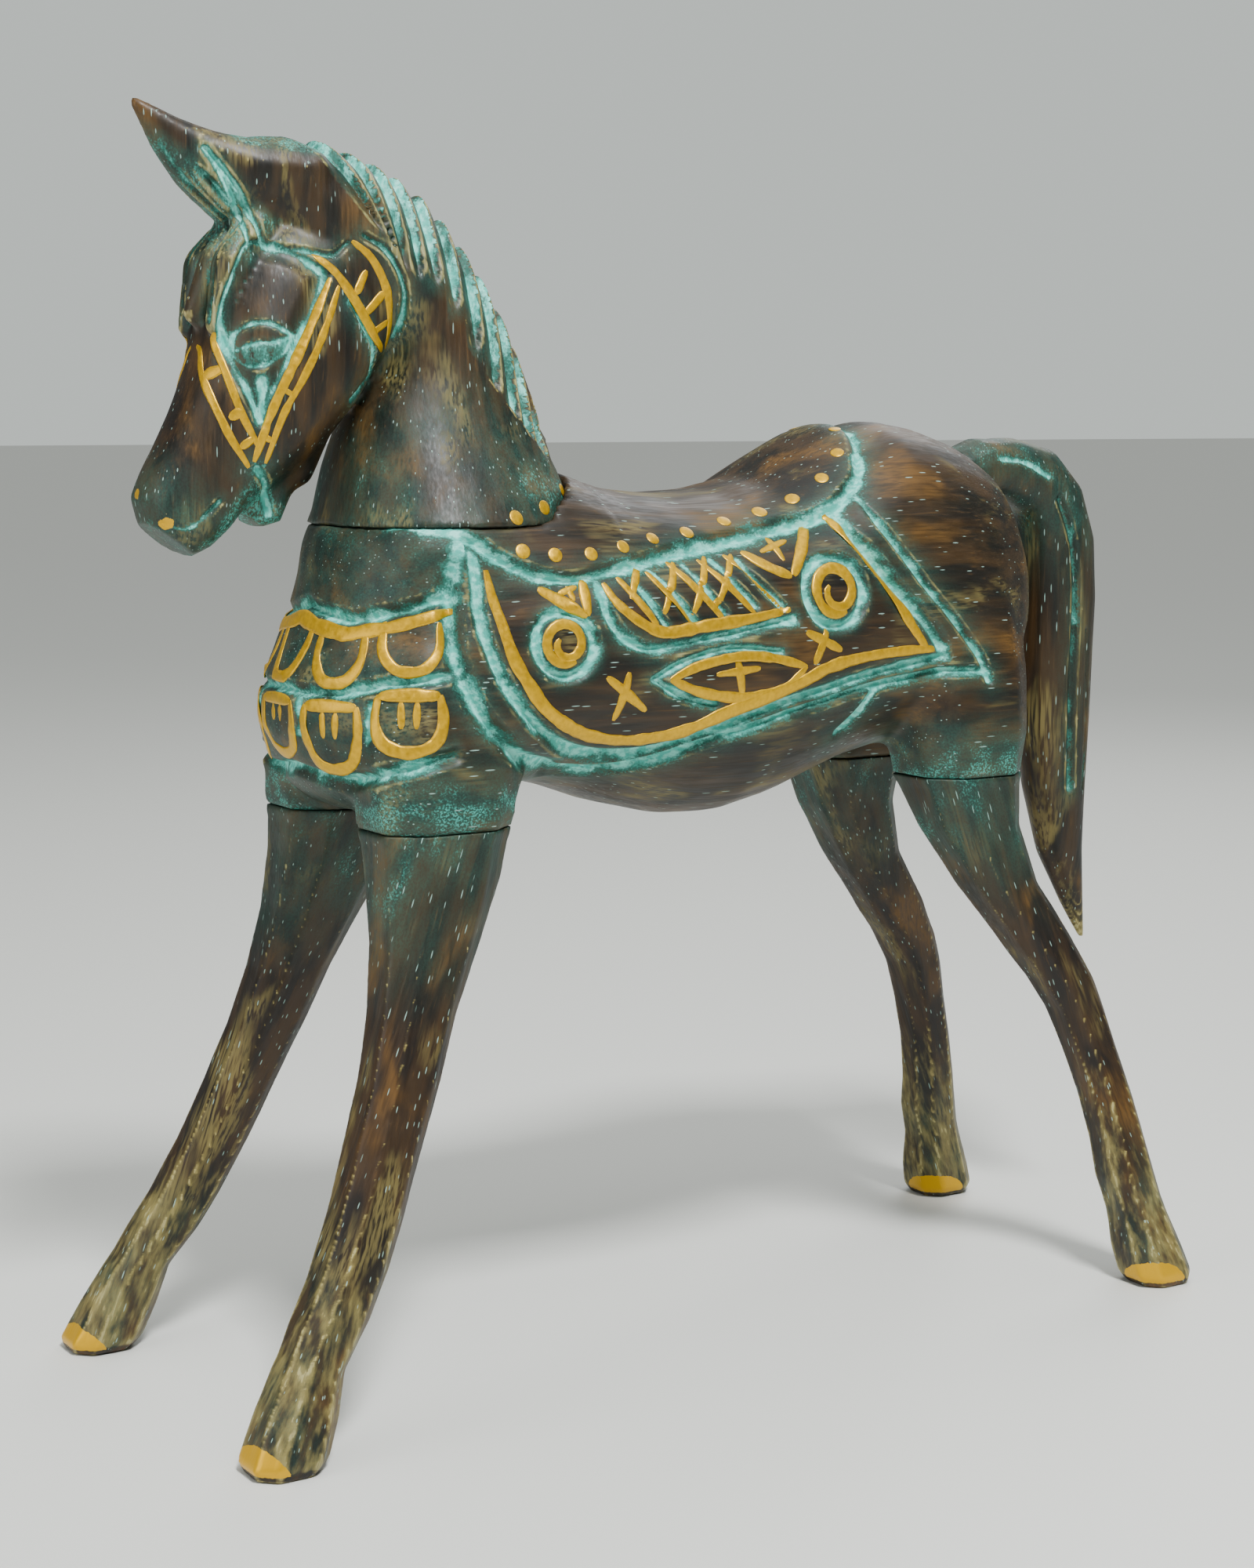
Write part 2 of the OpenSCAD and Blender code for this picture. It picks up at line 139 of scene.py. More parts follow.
# %% [markdown]
# ## A block under the knife
# A CAD block has few, large faces, which is right for measuring and for a physics model, but a
# groove needs faces much smaller than itself. It could be cut with booleans, but a hand gouge
# leaves soft, uneven edges. So the block is rebuilt on an even grid of small faces (voxel remesh),
# rounded a little as if by sandpaper, and then its points are pushed in along their normals.
# The `Carving` also remembers, point by point, where paint stays: `cut` is turquoise in the
# grooves, `haze` is the thin wash around them, `gold` is a signed distance to a gold patch, and
# the rubbed layer is where handling has rubbed the stain away, with a pale painted highlight
# added to it on the rump and the top of the head.

# %% Rebuild a block on a fine grid
def collection_link(mesh, name):
    obj = bpy.data.objects.new(name, mesh)
    bpy.context.scene.collection.objects.link(obj)
    return obj


def blank(node, grid):
    """A fine-gridded copy of a CAD block's mesh, with grid mm between its points."""
    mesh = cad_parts[node].data.copy()
    bm = bmesh.new()
    bm.from_mesh(mesh)
    bmesh.ops.remove_doubles(bm, verts=bm.verts, dist=1e-6)
    bm.to_mesh(mesh)
    bm.free()
    rough = collection_link(mesh, node + "_rough")
    rough.modifiers.new("even grid", "REMESH").mode = "VOXEL"
    rough.modifiers["even grid"].voxel_size = grid * MM
    shown = rough.evaluated_get(bpy.context.evaluated_depsgraph_get())
    fine = bpy.data.meshes.new_from_object(shown)
    bpy.data.objects.remove(rough)
    return fine


class Carving:
    """One block of wood and what the tools have done to each of its points, in mm."""

    def __init__(self, node, grid, rounding, keep, strokes_near=None):
        self.mesh = blank(node, grid)
        self.take_stock()
        self.firm = keep(self.place)
        self.round_off(1 - self.firm, rounding)
        if strokes_near is not None:
            self.split(strokes_near(self.place))
            self.firm = keep(self.place)
            self.round_off(1 - self.firm, 3)
        self.sunk, self.cut, self.haze = (np.zeros(self.count) for _ in range(3))
        self.worn, self.gold = np.zeros(self.count), np.full(self.count, NO_GOLD)

    def read(self, source, what):
        flat = np.empty(self.count * 3, np.float32)
        source.foreach_get(what, flat)
        return flat.reshape(-1, 3).astype(float)

    def take_stock(self):
        """Read the mesh: its points, its edges and how many edges meet at each point."""
        self.count = len(self.mesh.vertices)
        self.place = self.read(self.mesh.vertices, "co") / MM
        ends = np.empty(len(self.mesh.edges) * 2, np.int32)
        self.mesh.edges.foreach_get("vertices", ends)
        self.ends = ends.reshape(-1, 2)
        self.valence = np.bincount(self.ends.ravel(), minlength=self.count)[:, None]

    def split(self, chosen):
        """Halve the grid at the chosen points, where the knife will need small faces."""
        bm = bmesh.new()
        bm.from_mesh(self.mesh)
        bm.verts.ensure_lookup_table()
        edges = {e for i in np.flatnonzero(chosen) for f in bm.verts[i].link_faces for e in f.edges}
        edges = sorted(edges, key=lambda e: e.index)
        bmesh.ops.subdivide_edges(bm, edges=edges, cuts=1, use_grid_fill=True)
        bm.to_mesh(self.mesh)
        bm.free()
        self.take_stock()

    def write_place(self):
        self.mesh.vertices.foreach_set("co", (self.place * MM).astype(np.float32).ravel())
        self.mesh.update()
        self.out = self.read(self.mesh.vertex_normals, "vector")

    def around(self, value):
        """The mean of a value over each point's neighbours."""
        a, b = self.ends.T
        value = value.reshape(self.count, -1)
        total = np.stack([
            np.bincount(a, column[b], self.count) + np.bincount(b, column[a], self.count)
            for column in value.T
        ], axis=1)
        return total / self.valence

    def round_off(self, share, passes):
        """Sand only where share is more than 0."""
        for _ in range(passes):
            self.place += 0.5 * share[:, None] * (self.around(self.place) - self.place)
        self.write_place()

    def gouge(self, flat, stroke, where=1.0):
        """Push a gouge along a line and rub turquoise into the cut."""
        line, width, deep, paint, soft = stroke
        away = line_distance(flat, line, width / 2 + 3 * soft)
        self.sunk = np.maximum(self.sunk, deep * where * np.clip(1 - 1.8 * away / width, 0, 1) ** 1.2)
        self.cut = np.maximum(self.cut, paint * where * np.clip(1.15 - 1.7 * away / width, 0, 1))
        beyond = np.maximum(away - width / 2, 0)
        self.haze = np.maximum(self.haze, 0.8 * paint * where * np.exp(-beyond / soft))

    def step_down(self, away, deep, run, where=1.0):
        """Lower the ground beside an edge: deepest at the edge, level again after run mm."""
        fall = np.where(away > 0, np.clip(1 - away / run, 0, 1) ** 1.5, 0)
        self.sunk = np.maximum(self.sunk, deep * where * fall)

    def finish(self, name, nodes, material):
        """Cut the wood, measure its edges and hollows, and hand over the finished piece."""
        self.sunk *= 1 - self.firm
        self.place -= self.out * self.sunk[:, None]
        self.write_place()
        bend = ((self.around(self.place) - self.place) * self.out).sum(1)
        for _ in range(3):
            bend = 0.5 * bend + 0.5 * self.around(bend)[:, 0]
        length = np.linalg.norm(self.place[self.ends[:, 0]] - self.place[self.ends[:, 1]], axis=1)
        grid = sum(np.bincount(end, length, self.count) for end in self.ends.T) / self.valence[:, 0]
        bend = bend / grid**2
        worn = np.clip(self.worn + smooth_step(-bend, 0.03, 0.22), 0, 1)
        hollow = smooth_step(bend, 0.06, 0.25)
        layers = {
            "cut": np.clip(self.cut, 0, 1),
            "haze": np.clip(np.maximum(self.haze, 0.55 * hollow), 0, 1),
            "worn": worn * (1 - 0.8 * self.cut) * (1 - self.firm),
            "gold": self.gold,
        }
        for layer, value in layers.items():
            attribute = self.mesh.attributes.new(layer, "FLOAT", "POINT")
            attribute.data.foreach_set("value", value.astype(np.float32))
        self.mesh.polygons.foreach_set("use_smooth", np.ones(len(self.mesh.polygons), bool))
        self.mesh.materials.clear()
        self.mesh.materials.append(material)
        piece = collection_link(self.mesh, name)
        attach(piece, "root")
        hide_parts(*nodes)
        print(name, "faces:", len(self.mesh.polygons), "deepest cut in mm:", round(float(self.sunk.max()), 2))
        return piece


# %% [markdown]
# ## The stained and painted wood
# The real blocks are a light, open-pored tropical wood. They were stained almost black-brown,
# brushed with turquoise, wiped back so that the colour stays in the cuts and pores, rubbed at the
# edges and closed with a satin lacquer. The material layers the same jobs in the same order:
# grain, stain patches, rubbed edges (on the rump and the top of the head partly a painted
# highlight), wash, turquoise in the cuts, chalky pores, gold patches.
# All patterns read object coordinates in real millimetres, so they never slide.

# %% Colours, and one function that adds a node
def paint_colour(code):
    """An sRGB hex colour as the linear values that Blender's sockets hold."""
    parts = [int(code[i:i + 2], 16) / 255 for i in (1, 3, 5)]
    return [c / 12.92 if c <= 0.04045 else ((c + 0.055) / 1.055) ** 2.4 for c in parts] + [1.0]


def add_node(tree, kind, values=None, **settings):
    """Adds a node, applies its settings, then fills or links its inputs."""
    node = tree.nodes.new(kind)
    for key, value in settings.items():
        setattr(node, key, value)
    for key, value in (values or {}).items():
        if isinstance(value, bpy.types.NodeSocket):
            tree.links.new(value, node.inputs[key])
        else:
            node.inputs[key].default_value = value
    return node


DARK_STAIN = "#120b06"
BROWN_STAIN = "#352410"
AMBER = "#5f4218"
OLIVE = "#877a45"
PALE_OLIVE = "#aaa06c"
DEEP_TEAL = "#276357"
TURQUOISE = "#4cb8a9"
PALE_TURQUOISE = "#9becdf"
PORE_CHALK = "#9cc0b6"
GOLD = "#d0a000"


# %% The wood material
def wood_finish(name, grain, lean=0.0):
    """Stained, washed and lacquered wood. grain is the axis its fibres follow; lean tips them."""
    material = bpy.data.materials.new(name)
    material.use_nodes = True
    tree = material.node_tree
    tree.nodes.clear()

    def node(kind, values=None, **settings):
        return add_node(tree, kind, values, **settings)

    def layer(attribute):
        return node("ShaderNodeAttribute", attribute_name=attribute).outputs["Fac"]

    def maths(operation, a, b=0.0, clamp=False):
        return node("ShaderNodeMath", {0: a, 1: b}, operation=operation, use_clamp=clamp).outputs[0]

    def ramp(value, low, high, to_low=0.0, to_high=1.0):
        values = {"Value": value, 1: low, 2: high, 3: to_low, 4: to_high}
        return node("ShaderNodeMapRange", values, interpolation_type="SMOOTHSTEP").outputs[0]

    def blend(share, under, over):
        sockets = {0: share, 6: under, 7: over}
        sockets = {k: paint_colour(v) if isinstance(v, str) else v for k, v in sockets.items()}
        return node("ShaderNodeMix", sockets, data_type="RGBA").outputs[2]

    def noise(vector, detail=3.0, distortion=0.0):
        values = {"Vector": vector, "Scale": 1.0, "Detail": detail, "Distortion": distortion}
        return node("ShaderNodeTexNoise", values).outputs["Fac"]

    # Coordinates in mm, tipped so that Z or Y runs with the fibres
    place = node("ShaderNodeTexCoord").outputs["Object"]
    in_mm = {"Vector": place, "Rotation": (lean, 0, 0), "Scale": (1000, 1000, 1000)}
    place = node("ShaderNodeMapping", in_mm).outputs[0]

    def stretched(across, along):
        """Coordinates where one unit is across mm over the grain and along mm with it."""
        scale = [1 / across] * 3
        scale["XYZ".index(grain)] = 1 / along
        return node("ShaderNodeMapping", {"Vector": place, "Scale": scale}).outputs[0]

    # Stain: fine fibres 0.7 mm wide, soft bands 5 mm wide, and patches 16 by 34 mm
    fibres = noise(stretched(0.7, 16), 2)
    bands = noise(stretched(5, 48), 3, 0.6)
    patches = noise(stretched(16, 34), 3, 0.4)
    colour = blend(ramp(bands, 0.35, 0.68), DARK_STAIN, BROWN_STAIN)
    amber = maths("MULTIPLY", ramp(patches, 0.52, 0.70), ramp(fibres, 0.30, 0.65, 0.35, 0.95))
    colour = blend(amber, colour, AMBER)
    colour = blend(ramp(fibres, 0.58, 0.80, 0.0, 0.35), colour, AMBER)
    olive = maths("MULTIPLY", ramp(patches, 0.30, 0.44, 0.5, 0), ramp(fibres, 0.35, 0.6))
    colour = blend(olive, colour, OLIVE)

    # Edges that hands and sandpaper have rubbed through to pale wood, and, in the same layer, a pale painted
    # highlight on the rump and the top of the head
    rub = noise(stretched(1.6, 6), 4)
    bare_and_highlight = ramp(maths("ADD", layer("worn"), maths("MULTIPLY", rub, 1.1)), 0.92, 1.50)
    colour = blend(maths("MULTIPLY", bare_and_highlight, 0.92), colour, OLIVE)
    colour = blend(ramp(maths("MULTIPLY", bare_and_highlight, fibres), 0.42, 0.62, 0, 0.8), colour, PALE_OLIVE)

    # The thin wash: broken up in clouds 5 mm wide and fine specks
    clouds = noise(stretched(5, 9), 5, 0.3)
    specks = noise(stretched(0.45, 0.6), 2)
    wash = maths("MULTIPLY", layer("haze"), ramp(clouds, 0.28, 0.72, 0.45, 1.0))
    wash = maths("MULTIPLY", wash, ramp(specks, 0.35, 0.60, 0.55, 1.0), clamp=True)
    colour = blend(maths("MULTIPLY", wash, 0.78), colour, DEEP_TEAL)
    colour = blend(ramp(maths("MULTIPLY", wash, specks), 0.24, 0.56, 0, 0.62), colour, TURQUOISE)

    # Turquoise left in the cuts, deep at their rims and paler where it lies thick
    broken = maths("ADD", maths("MULTIPLY", specks, 0.5), ramp(clouds, 0.32, 0.68, 0, 0.5))
    paint = maths("ADD", layer("cut"), maths("SUBTRACT", broken, 0.56))
    in_cut = ramp(paint, 0.28, 0.52)
    colour = blend(maths("MULTIPLY", in_cut, 0.9), colour, DEEP_TEAL)
    thick = ramp(paint, 0.48, 0.9)
    colour = blend(maths("MULTIPLY", thick, 0.92), colour, TURQUOISE)
    crumbs = maths("MULTIPLY", thick, ramp(noise(stretched(1.3, 2.6), 4), 0.40, 0.62))
    colour = blend(maths("MULTIPLY", crumbs, 0.7), colour, PALE_TURQUOISE)

    # Open pores: dashes about 0.3 mm wide and 2 mm long, chalky with old paint
    pores = node("ShaderNodeTexVoronoi", {"Vector": stretched(0.9, 8), "Scale": 1.0, "Randomness": 1.0})
    chosen = node("ShaderNodeSeparateColor", {0: pores.outputs["Color"]}).outputs[0]
    dash = maths("MULTIPLY", ramp(pores.outputs["Distance"], 0.12, 0.19, 1, 0), ramp(chosen, 0.50, 0.6))
    dash = maths("MULTIPLY", dash, maths("SUBTRACT", 1.0, in_cut))
    colour = blend(maths("MULTIPLY", dash, 0.65), colour, PORE_CHALK)

    # Gold patches painted on this block, with a brushed edge
    edge = maths("MULTIPLY", maths("SUBTRACT", noise(stretched(1.1, 1.4), 2), 0.5), 0.9)
    gold = ramp(maths("ADD", layer("gold"), edge), -0.08, 0.08)
    colour = blend(gold, colour, GOLD)

    # Satin lacquer over wood, matt paint in the cuts, smooth gold
    rough = ramp(fibres, 0.3, 0.7, 0.42, 0.58)
    matt = maths("MAXIMUM", in_cut, maths("MULTIPLY", wash, 0.6))
    rough = node("ShaderNodeMix", {0: matt, 2: rough, 3: 0.72}).outputs[0]
    rough = node("ShaderNodeMix", {0: gold, 2: rough, 3: 0.36}).outputs[0]
    grit = maths("MULTIPLY", specks, maths("MULTIPLY", in_cut, 0.6))
    relief = maths("ADD", maths("MULTIPLY", fibres, 0.35), grit)
    relief = maths("SUBTRACT", relief, maths("MULTIPLY", dash, 0.6))
    bump = node("ShaderNodeBump", {"Height": relief, "Strength": 0.55, "Distance": 0.25 * MM}).outputs[0]
    shader = node("ShaderNodeBsdfPrincipled", {
        "Base Color": colour, "Roughness": rough, "Metallic": maths("MULTIPLY", gold, 0.45), "Normal": bump,
        "Specular IOR Level": 0.32, "Coat Weight": 0.06, "Coat Roughness": 0.3,
    })
    tree.links.new(shader.outputs[0], node("ShaderNodeOutputMaterial").inputs[0])
    return material


TRUNK_WOOD = wood_finish("stained_wood_long_grain", "Y")
NECK_WOOD = wood_finish("stained_wood_upright_grain", "Z")
FRONT_LEG_WOOD = wood_finish("stained_wood_front_leg_grain", "Z", math.radians(20))
REAR_LEG_WOOD = wood_finish("stained_wood_rear_leg_grain", "Z", math.radians(-20))
print("wood finishes:", [m.name for m in bpy.data.materials if m.name.startswith("stained")])

# %% [markdown]
# ## Drawing on the trunk
# The saddle, the blanket and their ornaments are drawn once, in a flat side view, and cut on both
# flanks. A drawing point is (mm from the chest, mm above the ground). The collar wraps round the
# chest, so its drawing is unrolled: (mm round the chest from its middle, mm above the ground).

# %% The side drawing and the collar drawing
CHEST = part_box("trunk")[0].y / MM
COLLAR_AXIS = -65.0  # the chest is nearly round about this upright axis
COLLAR_R = 38.0

saddle_edge = flow([
    (20, 206), (34, 203), (39, 199.5), (45, 196), (57, 193), (70, 195), (88, 198.5), (108, 201.5),
    (120, 203.5), (131, 205.5), (138, 208), (143, 211.5), (148.5, 216), (152, 222), (157, 228), (160, 236),
])
blanket_front = flow([
    (31, 201), (28.5, 193.5), (28, 185), (28, 176), (30, 169), (33, 163), (38.5, 157), (46.5, 151.5),
    (57, 147.5),
])
blanket_foot = flow([
    (57, 147.5), (70, 146.5), (82, 148.5), (95, 152.5), (107.5, 155.5), (119, 158.5), (131, 161),
    (143.5, 163.5), (156.5, 165), (170, 166.5), (180, 166),
])
blanket_rear = flow([
    (146, 211), (149, 204.5), (154, 197.5), (159.5, 190.5), (165, 184.5), (173, 176.5), (178.5, 170),
    (181, 163.5),
])
inner_front = flow([
    (34, 199), (34.5, 192.5), (34.5, 184.5), (36, 177.5), (39, 170.5), (43, 164), (48.5, 158.5), (57, 153.5),
    (69, 150.5), (81, 151), (94, 154.5), (107, 158.5), (118.5, 161.5), (130.5, 164), (143, 166.5),
    (156, 168.5), (167.5, 170),
])
inner_rear = flow([
    (138.5, 207.5), (140.5, 202), (144.5, 196.5), (149.5, 190.5), (155.5, 184.5), (161.5, 178.5),
    (166.5, 172.5),
])
gold_front = [
    (37.5, 195.5), (38, 190), (39.5, 183.5), (41.5, 176), (45, 169.5), (50, 163), (59.5, 157.5), (71, 154.7),
    (81.5, 155), (89.5, 156.5), (99.5, 160), (111, 163.2), (120.5, 166), (130, 169.5), (142.5, 171.5),
    (155, 172.3), (164, 172.3),
]
gold_rear = [(136.5, 206), (139.5, 200), (144, 194), (150.5, 186), (156.5, 178), (161.5, 172)]
lattice_foot = [
    (65, 192.8), (66, 186.5), (68.5, 181), (73.5, 177.2), (79, 176.3), (92.5, 178), (106, 180), (119, 181.8),
]
lattice_rear = [(106.5, 196), (110.5, 190.5), (116, 184.5)]
FIRST_ROUNDEL, SECOND_ROUNDEL = (54.7, 178.3), (132.4, 187.8)


def ring_line(centre, radius, turns=24):
    """A closed round line."""
    angle = np.linspace(0, 2 * math.pi, turns + 1)
    return np.stack([centre[0] + radius * np.cos(angle), centre[1] + radius * np.sin(angle)], axis=1)


# Each stroke is a line, its width, its depth, how full of paint it stays, how far the wash spreads
side_strokes = [
    (saddle_edge, 3.8, 2.8, 1, 2), (blanket_front, 5.6, 3.0, 0.9, 2.2), (blanket_foot, 3.4, 2.2, 0.95, 2),
    (blanket_rear, 2.8, 2.0, 0.9, 2.5), (inner_front, 3.8, 2.4, 1, 1), (inner_rear, 5.2, 2.8, 1, 1.5),
    (ring_line(FIRST_ROUNDEL, 7.4), 3.8, 2.2, 1, 1), (ring_line(SECOND_ROUNDEL, 8.6), 3.8, 2.2, 1, 1),
    (flow(lattice_foot), 3.6, 2.1, 1, 1.5), (flow(lattice_rear), 2.8, 1.8, 1, 1),
    (flow([(75, 192.5), (79, 186), (82, 181.5)]), 2.0, 1.5, 1, 0.8),
    (flow([(80.5, 195), (86, 187.5), (90, 182)]), 2.0, 1.5, 1, 0.8),
    (flow([(90.5, 196), (95, 189), (99, 184)]), 2.0, 1.5, 1, 0.8),
    (flow([(99, 197), (104, 190), (108, 185)]), 2.0, 1.5, 1, 0.8),
    (flow([(78, 169), (88, 173.2), (101, 175.4), (115, 174)]), 2.8, 1.9, 1, 1.2),
    (flow([(78, 169), (87, 164.3), (96, 162)]), 2.8, 1.9, 1, 1.2),
    (flow([(146, 163.5), (142.5, 158), (137, 152)]), 3, 1.3, 1, 4),
]
print("strokes on each flank:", len(side_strokes))

COLLAR_TOP = [184, 182.5, 181, 183, 186, 187]
COLLAR_WAIST = [168.5, 168, 168, 170.5, 172, 173]
COLLAR_FOOT = [150.5, 149.5, 148, 152, 155.5, 157]
COLLAR_HALF = 72


def collar_height(around, heights):
    """Height of a collar line, given at a few angles from the middle of the chest."""
    return np.interp(np.abs(around), [0, 12, 30, 50, 68, 85], heights)


def collar_line(heights, rise=0.0, start=-COLLAR_HALF, end=COLLAR_HALF):
    """A line round the collar as (degrees, mm above the ground)."""
    around = np.linspace(start, end, 25)
    return np.stack([around, collar_height(around, heights) + rise], axis=1)


def unrolled(line):
    """Degrees round the chest turned into mm."""
    line = np.array(line, float)
    return np.stack([np.radians(line[:, 0]) * COLLAR_R, line[:, 1]], axis=1)


collar_strokes = [
    (unrolled(collar_line(heights, rise)), width, deep, 0.85, 3) for heights, rise, width, deep in (
        (COLLAR_TOP, 3.4, 4.2, 2.4), (COLLAR_WAIST, 0, 3.8, 2.1), (COLLAR_FOOT, -1.6, 4.6, 2.6),
    )
]
collar_strokes += [(unrolled([(tab, 166), (tab * 0.99, 158)]), 2.4, 1.4, 1, 1) for tab in (-43, -15, 15, 43)]
print("strokes on the collar:", len(collar_strokes))

# %% [markdown]
# ## The trunk
# The gouge goes round the saddle first, which then stands proud of the flank. Two grooves run round
# the blanket with a rail between them, and short cuts set off the ornaments. The collar is a band
# with a groove along its top, its middle and its foot. Low lumps over everything stand for the flats
# that the knife left. Turquoise wash lies where the carving is deep and where the legs join.


# %% Carve the trunk
def on_flank(place):
    """The side drawing's coordinates of points in space."""
    return np.stack([place[:, 1] - CHEST, place[:, 2]], axis=1)


def on_chest(place):
    """The unrolled collar drawing's coordinates of points in space."""
    around = np.arctan2(place[:, 0], -(place[:, 1] - COLLAR_AXIS))
    return np.stack([around * COLLAR_R, place[:, 2]], axis=1)


def near_trunk_strokes(place):
    flank_side = beside(on_flank(place), side_strokes, 1.0) & (np.abs(place[:, 0]) > 12)
    chest_side = beside(on_chest(place), collar_strokes, 1.0) & (place[:, 1] < COLLAR_AXIS + 14)
    return flank_side | chest_side


def trunk_joints(place):
    """1 where the trunk meets the legs, the neck and the tail: the knife stops short of a joint."""
    x, y, z = place.T
    pads = (1 - smooth_step(z, 138.5, 143)) * (np.abs(x) > 9) * (np.abs(y) > 52)
    seat = np.maximum(smooth_step(z, 202.5, 204.6) * (y < -30), smooth_step(z, 192, 201) * (y < -72))
    tail_seat = 1 - smooth_step(np.hypot(y - 98, z - 214), 9, 14) * (z > 190)
    return np.maximum(np.maximum(pads, seat), tail_seat * (z > 200) * (y > 84))


trunk = Carving("trunk", 1.3, 7, trunk_joints, near_trunk_strokes)
# The blocks were sanded together after gluing: the chest swells out to meet the foot of the neck
spread = trunk.place * (1, 1, 0) - (0, COLLAR_AXIS, 0)
reach = np.linalg.norm(spread, axis=1)
turned = np.degrees(np.arctan2(np.abs(spread[:, 0]), -spread[:, 1]))
swell = np.interp(turned, [0, 40, 60, 80, 100, 130], [2.5, 2.7, 4.1, 3.5, 1.3, 0])
swell *= smooth_step(trunk.place[:, 2], 186, 203.5) * smooth_step(reach, 15, 22)
trunk.place += spread / np.maximum(reach, 1)[:, None] * swell[:, None]
trunk.write_place()
x, y, z = trunk.place.T
side_view, collar_view = on_flank(trunk.place), on_chest(trunk.place)
spine = np.stack([x, np.zeros_like(x), z - 176], axis=1)
facing_out = (spine * trunk.out).sum(1) / np.maximum(np.linalg.norm(spine, axis=1), 1)
flank = smooth_step(facing_out, 0.15, 0.45)
around = np.degrees(collar_view[:, 0] / COLLAR_R)
on_collar = smooth_step(np.hypot(x, y - COLLAR_AXIS), 14, 20) * (y < COLLAR_AXIS + 14)
on_collar *= 1 - smooth_step(np.abs(around), 70, 76)

saddle_shape = np.vstack([saddle_edge, [(160, 260), (20, 260)]])
from_saddle = line_distance(side_view, saddle_edge, 14) * np.where(inside(side_view, saddle_shape), -1, 1)
trunk.step_down(from_saddle, 2.2, 12, flank)
for stroke in side_strokes:
    trunk.gouge(side_view, stroke, flank)
for stroke in collar_strokes:
    trunk.gouge(collar_view, stroke, on_collar)

joints_wash = (1 - smooth_step(z, 140, 160)) * smooth_step(np.abs(x), 8, 18) * smooth_step(np.abs(y), 40, 56)
throat_wash = (1 - smooth_step(y, -72, -52)) * smooth_step(z, 186, 190)
trunk.haze = np.maximum(trunk.haze, 0.85 * joints_wash)
trunk.haze = np.maximum(trunk.haze, 0.5 * throat_wash)
trunk.haze = np.maximum(trunk.haze, 0.45 * (1 - smooth_step(y, -92, -80)))
# Paler towards the rear and along the foot of the belly: rubbed wood, and on the rump band also a painted
# highlight where light catches its edge.
trunk.worn = 0.6 * smooth_step(y, 84, 108) + 0.3 * (1 - smooth_step(z, 132, 142))
flats = 0.22 * (1 + lumps(trunk.place, (9, 16, 9), 3)) * flank
trunk.sunk += flats + 0.05 * (1 + lumps(trunk.place, (2.5, 6, 2.5), 5))
trunk.finish("trunk_carved", ["trunk"], TRUNK_WOOD)

# %% [markdown]
# ## The neck and head
# The head is drawn in its own side view: (mm down the face from the poll, mm towards the
# forehead). A sunk panel frames the eye, and a groove parts the jaw from the throat. The mane is a
# row of flutes. Each starts at the crest and runs steeply down, so a point is asked which two lock
# lines it lies between: the wood is scooped between the lines, and they stay as sharp ridges.

# %% Carve the neck and head
FACE_PITCH = math.radians(54)
DAB_R = 1.3
HEAD_START = np.array([0.0, -88.0, 267.5])
FACE_DOWN = np.array([0.0, -math.cos(FACE_PITCH), -math.sin(FACE_PITCH)])
FACE_FRONT = np.array([0.0, -math.sin(FACE_PITCH), math.cos(FACE_PITCH)])

CREST = flow([
    (-104, 289), (-91, 290.5), (-82, 286.5), (-74, 281), (-67, 273), (-60, 263.5), (-54, 252.5), (-49, 240),
    (-45.5, 228), (-43, 217),
], 3)
LOCK_LENGTH = 25.0
# Where each lock line leaves the crest (y in mm), and how steeply it falls there in degrees
LOCK_STARTS = [-100, -92.5, -86, -79.8, -74, -68.7, -63.5, -58.5, -53.8, -49.3, -45.5, -42]
LOCK_FALLS = [-50, -62, -75, -83, -87, -89, -90, -90, -90, -90, -90, -90]


def neck_joint(place):
    """1 at the neck's foot, which has to meet the trunk, and at the thin tips of the ears."""
    ears = smooth_step(-place[:, 1], 122, 132) * smooth_step(place[:, 2], 276, 284)
    return np.maximum(ears, 1 - smooth_step(place[:, 2], 205.6, 209))


